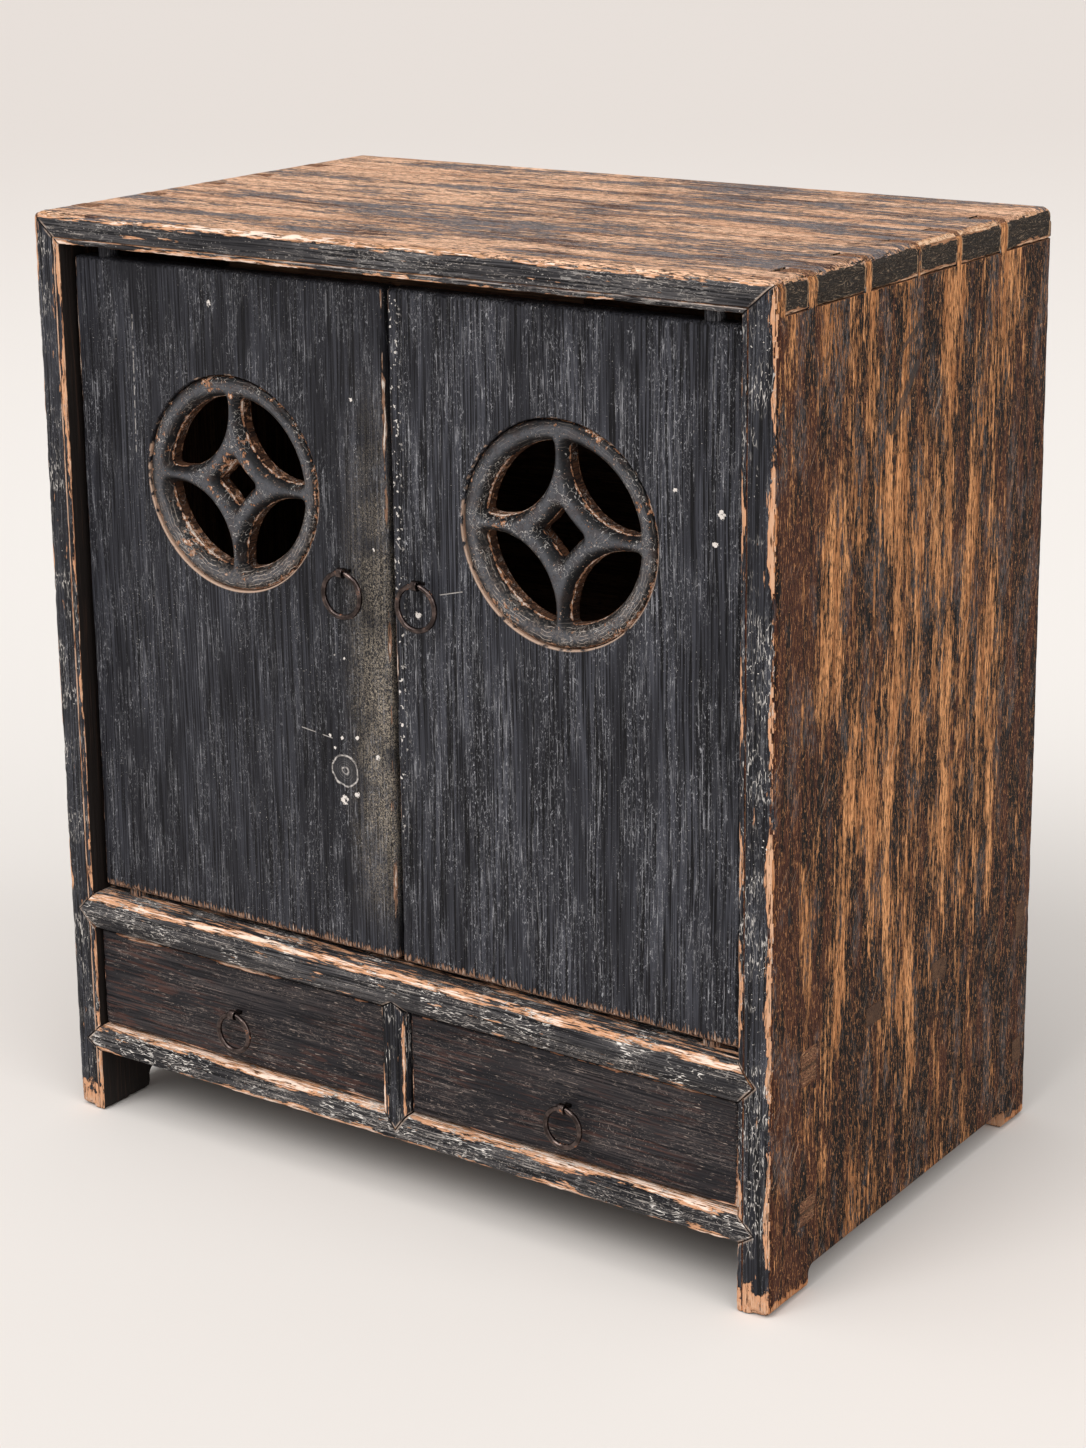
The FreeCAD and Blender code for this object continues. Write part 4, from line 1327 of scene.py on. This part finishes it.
def plain_finish(name, along, seed):
    f = Finish(name)
    colour, relief, roughness = bare_wood(f, along, seed, inside_light, inside_dark)
    stain = f.cloud(80, seed + 5, detail=3.0).rise(0.45, 0.70)
    colour = f.mix(stain * 0.55, colour, stain_brown)
    return f.finished(colour, relief, roughness, 0.3)


def iron_finish(seed):
    f = Finish("dark iron")
    pits = f.noise(f.straight, (520, 520, 520), seed, detail=4.0)
    patches = f.noise(f.straight, (160, 160, 160), seed + 1, detail=3.0)
    colour = f.mix(patches.rise(0.40, 0.66), iron_dark, iron_grey)
    rust = patches.rise(0.60, 0.72) * pits.rise(0.48, 0.60)
    colour = f.mix(rust * 0.85, colour, iron_rust)
    roughness = 0.13 + pits * 0.10 + rust * 0.45
    return f.finished(colour, pits, roughness, 0.16, metallic=0.95 - rust * 0.95)


iron = iron_finish(5.0)
plain_wood = {axis: plain_finish("plain wood along " + "XYZ"[axis], axis, 20.0 + axis) for axis in (X, Y, Z)}
print("plain wood along three axes, and iron")

# %% [markdown]
# Every finished piece is declared in the same way: it is attached to the body that it rides on, and the
# construction nodes that it stands for are hidden.

# %% Declare a piece


def declare(thing, body, slot, *nodes):
    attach(thing, body)
    if nodes:
        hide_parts(*nodes)
    return thing


print("pieces can be declared")

# %% [markdown]
# The case: two side boards that are stile, side and feet in one, and the top that is dovetailed
# over them. The outer arrises have been rubbed much rounder than the inner ones, so the arris is
# given as a function of the place.

# %% The side boards
outer_arris = 6.0 * MM
inner_arris = 1.8 * MM
middle_of_side = 0.299


def side_arris(points):
    return np.where(np.abs(points[:, X]) > middle_of_side, outer_arris, inner_arris)


front_joints = rail_points + corner_mitres
for side, sign, seed in (("left", -1, 3.0), ("right", 1, 11.0)):
    node = "side_board_" + side
    faces = (
        ((sign, 0, 0), side_wood(node, seed, seed + 30, side_gouges if sign > 0 else ())),
        ((-sign, 0, 0), inner_side(node, seed + 70)),
        ((0, 0, 1), pin_ends(node, seed)),
        ((0, -1, 0), lacquered(node, Z, seed, wear=6.0, joints=front_joints, outer=0.5, white=0.7)),
    )
    board = worn_board(
        node, plain_wood[Z], 3.4, seed, wear=1.6, wear_width=7.0, arris=side_arris, faces=faces
    )
    declare(board, "cabinet", "worn_case_wood", node)

# %% [markdown]
# The top's upper arrises are the roundest of all, down to its rounded corners. Its front is black
# like the rest of the front, and its ends show the tails.

# %% The top board
top_arris = 7.0 * MM
middle_of_top = 0.688


def top_board_arris(points):
    return np.where(points[:, Z] > middle_of_top, top_arris, inner_arris)


node, seed = "top_board", 27.0
ends = tail_ends(node, seed, seed + 30)
front = lacquered(node, X, seed, wear=4.5, joints=corner_mitres, crown=0.699, bead=0.6815, white=0.3)
faces = (
    ((1, 0, 0), ends),
    ((-1, 0, 0), ends),
    ((0, -1, 0), front),
    ((0, 0, 1), top_wood(node, seed, seed + 30)),
)
board = worn_board(
    node, plain_wood[X], 3.6, seed, wear=1.5, wear_width=8.0, arris=top_board_arris, faces=faces
)
declare(board, "cabinet", "worn_case_wood", node)

# %% [markdown]
# The front rails and the short stile between the drawers. The middle rail is a rounded bar, so
# its net is bent to the same bow before it is worn and cut.

# %% The middle rail
rail_bow = 4.0 * MM
rail_bow_depth = 12 * MM


def bowed(mesh):
    """Bends the front of the middle rail's net to the bar's bow."""
    low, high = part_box("middle_rail")
    middle = (low.z + high.z) / 2
    for vertex in mesh.vertices:
        share = (vertex.co.z - middle) / (high.z - middle)
        fade = max(0, 1 - (vertex.co.y - low.y) / rail_bow_depth)
        vertex.co.y += rail_bow * share * share * fade


tenon_ends = pin_ends("front rail tenons", 35.0)
end_faces = (((1, 0, 0), tenon_ends), ((-1, 0, 0), tenon_ends))
board = worn_board(
    "middle_rail",
    lacquered("middle_rail", X, 31.0, wear=4.5, joints=rail_points[:2] + stile_points[1:], crown=0.1765),
    2.6,
    31.0,
    wear=1.2,
    wear_width=5.0,
    arris=2.0,
    shape=bowed,
    faces=end_faces,
)
declare(board, "cabinet", "black_lacquer", "middle_rail")

# %% The bottom rail and the short stile
board = worn_board(
    "bottom_rail",
    lacquered("bottom_rail", X, 37.0, wear=7.5, joints=rail_points[2:] + stile_points[:1], crown=0.0715),
    2.6,
    37.0,
    wear=1.5,
    wear_width=6.0,
    arris=3.0,
    faces=end_faces,
)
declare(board, "cabinet", "black_lacquer", "bottom_rail")
board = worn_board(
    "centre_stile",
    lacquered("centre_stile", Z, 43.0, wear=3.5, joints=stile_points),
    2.0,
    43.0,
    wear=0.8,
    wear_width=3.0,
    arris=1.2,
)
declare(board, "cabinet", "black_lacquer", "centre_stile")

# %% [markdown]
# The doors turn on wooden pins that are part of the boards. The net covers the board alone, so
# the pins are added to it as two closed rods before the real board cuts everything to size.

# %% The doors
pin_radius = 7.0 * MM
pin_sides = 48
pin_x = 0.256
door_z = (0.184, 0.669)


def rod(name, x, y, low, high, radius):
    """A closed round rod that stands upright."""
    angles = [2 * math.pi * i / pin_sides for i in range(pin_sides)]
    ring = [(x + radius * math.cos(a), y + radius * math.sin(a)) for a in angles]
    points = [(*p, z) for z in (low, high) for p in ring]
    after = [(i + 1) % pin_sides for i in range(pin_sides)]
    walls = [(i, after[i], pin_sides + after[i], pin_sides + i) for i in range(pin_sides)]
    caps = [tuple(reversed(range(pin_sides))), tuple(range(pin_sides, 2 * pin_sides))]
    return new_object(name, points, walls + caps)


door_looks = (
    ("left", -1, 51.0, 0.75, 0.80, 0.85, left_marks, left_lines),
    ("right", 1, 67.0, 1.1, 1.35, 0.0, right_marks, right_lines),
)
for side, sign, seed, ridges, dust, margin, marks, lines in door_looks:
    node = "door_board_" + side
    low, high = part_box(node)
    middle_y = (low.y + high.y) / 2
    pins = rod("pins_" + side, sign * pin_x, middle_y, low.z, high.z, pin_radius)
    body_box = (Vector((low.x, low.y, door_z[0])), Vector((high.x, high.y, door_z[1])))
    board = worn_board(
        node,
        door_finish(side, sign, seed, ridges, dust, margin, marks, lines),
        3.4,
        seed,
        wave=0.4,
        wear=1.2,
        wear_width=5.0,
        dents=0.4,
        arris=3.5,
        extra=pins,
        box=body_box,
        faces=(((0, 1, 0), plain_wood[Z]),),
    )
    declare(board, "door_" + side, "black_lacquer", node)

# %% The drawer fronts
for side, seed in (("left", 71.0), ("right", 83.0)):
    node = "drawer_front_" + side
    board = worn_board(
        node,
        drawer_finish(side, seed),
        2.8,
        seed,
        wave=0.4,
        wear=1.0,
        wear_width=4.0,
        dents=0.3,
        arris=2.2,
        faces=(((0, 1, 0), plain_wood[X]),),
    )
    declare(board, "drawer_" + side, "black_lacquer", node)

# %% [markdown]
# Carved work has no straight arris at all. Each medallion is a copy of the real pierced disc,
# rebuilt as one skin of small quads, smoothed like wood under two centuries of fingers, and then
# worn with the same tree. How far each point stands proud of its neighbours is kept on the mesh,
# because the finish wears through exactly there.

# %% Skins for carved and forged pieces
proud_reach = 1.2 * MM


def softened(node, name, voxel, passes):
    """One even skin over a copy of a node, with its edges smoothed away."""
    thing = copy_of(node, name)
    skin = thing.modifiers.new("skin", "REMESH")
    skin.mode = "VOXEL"
    skin.voxel_size = voxel * MM
    soften = thing.modifiers.new("soften", "SMOOTH")
    soften.factor = 0.5  # halfway to the middle of the neighbours at each pass
    soften.iterations = passes
    return plain(thing)


def mark_proud(thing, reach):
    """Keeps how convex the surface is at each point, from 0 to 1 with 0.5 for flat."""
    mesh = thing.data
    count = len(mesh.vertices)
    places = np.empty(count * 3)
    mesh.vertices.foreach_get("co", places)
    places = places.reshape(-1, 3)
    normals = np.array([v.vector for v in mesh.vertex_normals])
    ends = np.empty(len(mesh.edges) * 2, dtype=int)
    mesh.edges.foreach_get("vertices", ends)
    first, second = ends.reshape(-1, 2).T
    share = np.zeros(count)
    np.add.at(share, first, 1)
    np.add.at(share, second, 1)

    def spread(values):
        total = np.zeros_like(values)
        np.add.at(total, first, values[second])
        np.add.at(total, second, values[first])
        return total / (share[:, None] if values.ndim > 1 else share)

    smooth = places
    for step in range(reach):
        smooth = (smooth + spread(smooth)) / 2
    proud = ((places - smooth) * normals).sum(axis=1)
    proud = 0.5 + 0.5 * np.clip(proud / proud_reach, -1, 1)
    attribute = mesh.attributes.new("proud", "FLOAT", "POINT")
    attribute.data.foreach_set("value", proud.astype(np.float32))
    print(thing.name, "proud from", round(float(proud.min()), 2), "to", round(float(proud.max()), 2))


def covered(thing, finish):
    """One finish all over, and smooth shading."""
    thing.data.materials.clear()
    thing.data.materials.append(finish)
    thing.data.shade_smooth()
    print(thing.name, len(thing.data.polygons), "faces")
    return thing


print("skins can be made, marked and covered")

# %% [markdown]
# The construction's medallion is flat in front. On the real one every rib and the band itself are
# half round, which follows a rule: the surface drops with nearness to a hole's outline. So the
# outlines are read from the solid's upright walls, and each point in front is set back by how
# close it lies to them. The crests then meet in the pattern's own middle lines.

# %% Read the outlines of the holes
medallion_outer = 78 * MM
outline_step = 0.5 * MM


def hole_outlines(node):
    """A finder for the nearest place on the holes' outlines, seen from the front."""
    solid = copy_of(node, "outline_" + node)
    low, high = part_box(node)
    middle = (low + high) / 2
    tree_points = []
    for face in solid.data.polygons:
        if abs(face.normal.y) > 0.1:
            continue
        corners = [solid.data.vertices[i].co for i in face.vertices]
        for a, b in zip(corners, corners[1:] + corners[:1]):
            away = math.hypot(a.x - middle.x, a.z - middle.z)
            if abs(a.y - b.y) > 0.1 * MM or away > medallion_outer - 2 * MM:
                continue
            steps = max(1, round((b - a).length / outline_step))
            tree_points += [a.lerp(b, i / steps) for i in range(steps)]
    drop(solid)
    finder = KDTree(len(tree_points))
    for i, point in enumerate(tree_points):
        finder.insert((point.x, 0, point.z), i)
    finder.balance()
    return finder


print("outlines can be read")

# %% [markdown]
# The drop is steepest at the outline and fades towards the crest. Where two carved leaves meet at
# the band, a fine groove marks the joint. The crest is kept on the mesh for the finish, which wears the rib
# edges and paints a sheen along the crests.

# %% Carve the ribs half round
rib_half_width = 8.2 * MM
rib_drop = 5.2 * MM
rib_roundness = 2.3
band_edge_width = 4.5 * MM
band_edge_drop = 2.6 * MM
joint_groove = 0.9 * MM
joint_half_width = 1.3 * MM
joint_slope = 0.85
joint_place = 0.0685
joint_from = 0.060
joint_half_length = 0.0085


def round_drop(distance, width, depth):
    """How far a rounded crest has fallen at this distance from its foot."""
    return depth * (1 - min(1, distance / width)) ** rib_roundness


def carve(thing, node):
    finder = hole_outlines(node)
    low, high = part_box(node)
    middle = (low + high) / 2
    thickness = high.y - low.y
    crests = np.zeros(len(thing.data.vertices), dtype=np.float32)
    for index, vertex in enumerate(thing.data.vertices):
        place = vertex.co
        distance = finder.find((place.x, 0, place.z))[2]
        dx, dz = abs(place.x - middle.x), abs(place.z - middle.z)
        away = math.hypot(dx, dz)
        fall = round_drop(distance, rib_half_width, rib_drop)
        fall += round_drop(max(0, medallion_outer - away), band_edge_width, band_edge_drop)
        across, along = min(dx, dz), max(dx, dz)
        joint = abs(along + across * joint_slope - joint_place)
        if along > joint_from and across < joint_half_length:
            fall += joint_groove * max(0, 1 - joint / joint_half_width)
        place.y += fall * (1 - (place.y - low.y) / thickness)
        crests[index] = min(1, distance / rib_half_width, (medallion_outer - away) / rib_half_width)
    thing.data.attributes.new("crest", "FLOAT", "POINT").data.foreach_set("value", crests)
    thing.data.update()
    return thing


print("ribs can be carved half round")

# %% [markdown]
# Both medallions go the same way: an even skin, the carving, the wear, and the mark of what
# stands proud. Only the seed of the wear differs.

# %% The carved medallions
carved = medallion_finish(91.0)
for side, seed in (("left", 93.0), ("right", 97.0)):
    node = "door_medallion_" + side
    medallion = carve(softened(node, "carved_medallion_" + side, 1.2, 2), node)
    weathered(medallion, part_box(node), carved, seed, 0.35, 0.3, 3, 0.4)
    mark_proud(medallion, 10)
    covered(medallion, carved)
    declare(medallion, "door_" + side, "black_lacquer", node)

# %% [markdown]
# A staple is a strap of iron that holds the ring. Hammering rounds its edges, and the same skin
# does that, only finer.

# %% The staples
for kind in ("door", "drawer"):
    for side, seed in (("left", 101.0), ("right", 103.0)):
        node = kind + "_staple_" + side
        staple = softened(node, "forged_" + node, 0.4, 2)
        weathered(staple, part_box(node), iron, seed, 0.1, 0.05, 3, 0.1)
        covered(staple, iron)
        declare(staple, kind + "_" + side, "dark_iron", node)

# %% [markdown]
# A ring pull is a bent rod, so it follows a rule: one circle swept round another. Four of them
# differ only in size and place, which makes them a Geometry Nodes tree with named inputs. Noise
# pushes the surface about by a few tenths of a millimetre, as forging leaves it, and the iron is
# thinner where it has swung in its staple.

# %% The tree that forges a ring
ring_inputs = {
    "Middle": "NodeSocketVector",
    "Radius": "NodeSocketFloat",
    "Wire": "NodeSocketFloat",
    "Uneven": "NodeSocketFloat",
    "Thinned": "NodeSocketFloat",
    "Seed": "NodeSocketFloat",
    "Finish": "NodeSocketMaterial",
}
lumps_in_a_metre = (110, 110, 110)
dimples_in_a_metre = (420, 420, 420)


def circle(recipe, points, radius):
    values = {"Resolution": points, "Radius": radius}
    return recipe.node("GeometryNodeCurvePrimitiveCircle", values=values)


def ring_tree():
    recipe, given = new_tree("forged ring", ring_inputs)
    path = circle(recipe, 96, given["Radius"])
    section = circle(recipe, 20, given["Wire"])
    swept = recipe.node("GeometryNodeCurveToMesh", values={"Curve": path, "Profile Curve": section})
    upright = recipe.node(
        "GeometryNodeTransform",
        values={"Geometry": swept, "Rotation": (math.pi / 2, 0, 0), "Translation": given["Middle"]},
    )
    place = recipe.node("GeometryNodeInputPosition")
    outward = recipe.node("GeometryNodeInputNormal")
    seed = given["Seed"]
    shift = recipe.node("ShaderNodeCombineXYZ", values={0: seed, 1: seed})
    shifted = recipe.vector("ADD", place, shift)
    lumps = recipe.noise(shifted, lumps_in_a_metre, 0.0)
    lumps = lumps + recipe.noise(shifted, dimples_in_a_metre, 3.0) * 0.4
    height = recipe.split(recipe.vector("SUBTRACT", place, given["Middle"]))[Z] / given["Radius"]
    depth = lumps * given["Uneven"] + height.rise(0.80, 1.0) * given["Thinned"]
    moved = recipe.node(
        "GeometryNodeSetPosition",
        values={"Geometry": upright, "Offset": recipe.scaled(outward, -depth)},
    )
    return close_tree(recipe, moved, given["Finish"])


forge = ring_tree()
print("ring tree has", len(forge.nodes), "nodes")

# %% The ring pulls
wire = 2.1 * MM
for kind in ("door", "drawer"):
    for side, seed in (("left", 1.0), ("right", 2.0)):
        node = kind + "_ring_" + side
        low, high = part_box(node)
        ring = new_object("forged_" + node, [(0, 0, 0)], [])
        grown(
            ring,
            forge,
            middle=tuple((low + high) / 2),
            radius=(high.x - low.x) / 2 - wire,
            wire=wire,
            uneven=0.12 * MM,
            thinned=0.30 * MM,
            seed=seed + len(kind),
            finish=iron,
        )
        ring.data.shade_smooth()
        declare(ring, node, "dark_iron", node)
        print(ring.name, len(ring.data.polygons), "faces")

# %% [markdown]
# The back is three plain boards. Nothing has polished them, so they only got their wood.

# %% The back boards
for name, seed in (("lower", 111.0), ("middle", 113.0), ("upper", 117.0)):
    node = "back_board_" + name
    board = worn_board(
        node, plain_wood[X], 5.0, seed, wave=0.5, wear=0.8, wear_width=4.0, dents=0.3, arris=1.2
    )
    declare(board, "cabinet", "plain_wood", node)

# %% [markdown]
# Nails with hammered heads hold the back. The heads are one small shape at twelve points, which
# is work for instances: each is turned by its own seeded angle.

# %% The tree that hammers nail heads
nail_inputs = {
    "Head Radius": "NodeSocketFloat",
    "Head Height": "NodeSocketFloat",
    "Seed": "NodeSocketInt",
    "Finish": "NodeSocketMaterial",
}


def nail_tree():
    recipe, given = new_tree("nail heads", nail_inputs)
    ball = recipe.node(
        "GeometryNodeMeshUVSphere",
        values={"Segments": 12, "Rings": 8, "Radius": given["Head Radius"]},
    )
    flat = recipe.node(
        "ShaderNodeCombineXYZ",
        values={0: 1.0, 1: given["Head Height"] / given["Head Radius"], 2: 1.0},
    )
    head = recipe.node("GeometryNodeTransform", values={"Geometry": ball, "Scale": flat})
    angle = recipe.node(
        "FunctionNodeRandomValue",
        {"data_type": "FLOAT_VECTOR"},
        {0: (-0.12, -3.1, -0.12), 1: (0.12, 3.1, 0.12), "Seed": given["Seed"]},
    )
    dots = recipe.node("GeometryNodeMeshToPoints", values={"Mesh": given["Geometry"]})
    heads = recipe.node(
        "GeometryNodeInstanceOnPoints",
        values={"Points": dots, "Instance": head, "Rotation": angle},
    )
    return close_tree(recipe, heads, given["Finish"])


hammer = nail_tree()
print("nail tree has", len(hammer.nodes), "nodes")

# %% The nail heads
low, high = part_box("back_nails")
nail_rows = [0.11884, 0.20884, 0.33895, 0.42895, 0.54311, 0.63311]
nail_x = 0.292
nail_y = high.y - 1.0 * MM
head_radius = 3.2 * MM
head_height = 1.1 * MM
places = [(sign * nail_x, nail_y, z) for z in nail_rows for sign in (-1, 1)]
nails = new_object("nail_heads", places, [])
grown(nails, hammer, head_radius=head_radius, head_height=head_height, seed=4, finish=iron)
nails.data.shade_smooth()
declare(nails, "cabinet", "dark_iron", "back_nails")
print(len(places), "nail heads")

# %% [markdown]
# The plain insides keep the construction's own solids, which are right as they are, and only get
# their wood. The grain follows each board's length.

# %% Wood for the construction's own boards
along_x = ("cabinet_floor", "middle_back_rail", "bottom_back_rail", "door_stop", "tenon_wedges")
along_y = ("drawer_runner_left", "drawer_runner_right", "drawer_runner_centre", "drawer_guide")
kept = {node: X for node in along_x}
kept.update({node: Y for node in along_y})
for side in ("left", "right"):
    kept.update({f"door_batten_{level}_{side}": X for level in ("lower", "upper")})
    kept.update({f"drawer_side_{place}_{side}": Y for place in ("outer", "inner")})
    kept.update({f"drawer_back_{side}": X, f"drawer_bottom_{side}": Y, f"drawer_pegs_{side}": Y})

for node, axis in kept.items():
    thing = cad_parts[node]
    while thing.material_slots and len(thing.material_slots) > 1:
        thing.data.materials.pop()
    if not thing.material_slots:
        thing.data.materials.append(plain_wood[axis])
    thing.material_slots[0].material = plain_wood[axis]
shown = [n for n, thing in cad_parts.items() if not thing.hide_render and n not in kept]
print(len(kept), "construction boards kept, still without a finish:", shown)

# %% [markdown]
# The floor is plain and pale. The picture's floor is a little darker far off, so its colour
# changes with the distance along the line of sight, which is a fixed direction in the room.

# %% The floor
floor_near = (0.790, 0.741, 0.700)
floor_middle = (0.795, 0.755, 0.718)
# The darker far floor is painted shade, for light that falls off with distance.
floor_far_painted_shade = (0.680, 0.629, 0.592)
floor_size = 40.0
floor_corners = [(x * floor_size, y * floor_size, 0) for x, y in ((-1, -1), (1, -1), (1, 1), (-1, 1))]
floor = new_object("floor", floor_corners, [(0, 1, 2, 3)])
f = Finish("floor finish")
away = f.at[Y] * 0.81 - f.at[X] * 0.58
colour = f.mix(away.rise(-0.6, 1.2), floor_near, floor_middle)
# Darker far off: painted shade.
colour = f.mix(away.rise(1.0, 7.0), colour, floor_far_painted_shade)
floor.data.materials.append(f.finished(colour, f.at[Z], 0.9, 0.0, shine=0.0))
floor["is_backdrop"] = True
print("floor", 2 * floor_size, "m wide")

# %% [markdown]
# The world adds an even glow. The camera, the gloss and clear things see it as a pale backdrop
# like the floor.

# %% The world
backdrop = (0.85, 0.80, 0.76)
glow_strength = 0.40
world = bpy.data.worlds.new("studio")
world.use_nodes = True
world.node_tree.nodes.clear()
scene.world = world
air = Recipe(world.node_tree)
path = air.node("ShaderNodeLightPath")
rays = ("Is Camera Ray", "Is Glossy Ray", "Is Transmission Ray")
by_camera, by_gloss, by_glass = (Wire(air, path.socket.node.outputs[name]) for name in rays)
white = rgba((1.0, 1.0, 1.0))
glow = air.node("ShaderNodeBackground", values={"Color": white, "Strength": glow_strength})
shown_air = air.node("ShaderNodeBackground", values={"Color": rgba(backdrop), "Strength": 1.0})
seen = by_camera.most(by_gloss).most(by_glass)
chosen = air.node("ShaderNodeMixShader", values={0: seen, 1: glow, 2: shown_air})
air.node("ShaderNodeOutputWorld", values={"Surface": chosen})
print("the world glows at", glow_strength)

# %% [markdown]
# Three wide suns stand for big softboxes: one high above, the key in front and a little to the
# left, and one from the right. A sun's angle is how large it looks, and so how soft it is.

# %% The lights


def soft_sun(name, strength, toward, spread):
    lamp = bpy.data.lights.new(name, "SUN")
    lamp.energy = strength
    lamp.angle = math.radians(spread)
    thing = bpy.data.objects.new(name, lamp)
    scene.collection.objects.link(thing)
    thing.rotation_euler = Vector(toward).to_track_quat("-Z", "Y").to_euler()


soft_sun("softbox_high", 1.1, (0.12, 0.60, -1.5), 60)
soft_sun("softbox_key", 1.2, (0.20, 0.95, -0.98), 34)
soft_sun("softbox_right", 1.1, (-1.0, 0.22, -0.65), 60)
scene.view_settings.view_transform = "Standard"
print("three softboxes")

# %% [markdown]
# Last, the box of the finished cabinet is printed.

# %% Print the size of the finished cabinet
low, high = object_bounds()
print("visual", [round(v, 4) for v in low], [round(v, 4) for v in high])
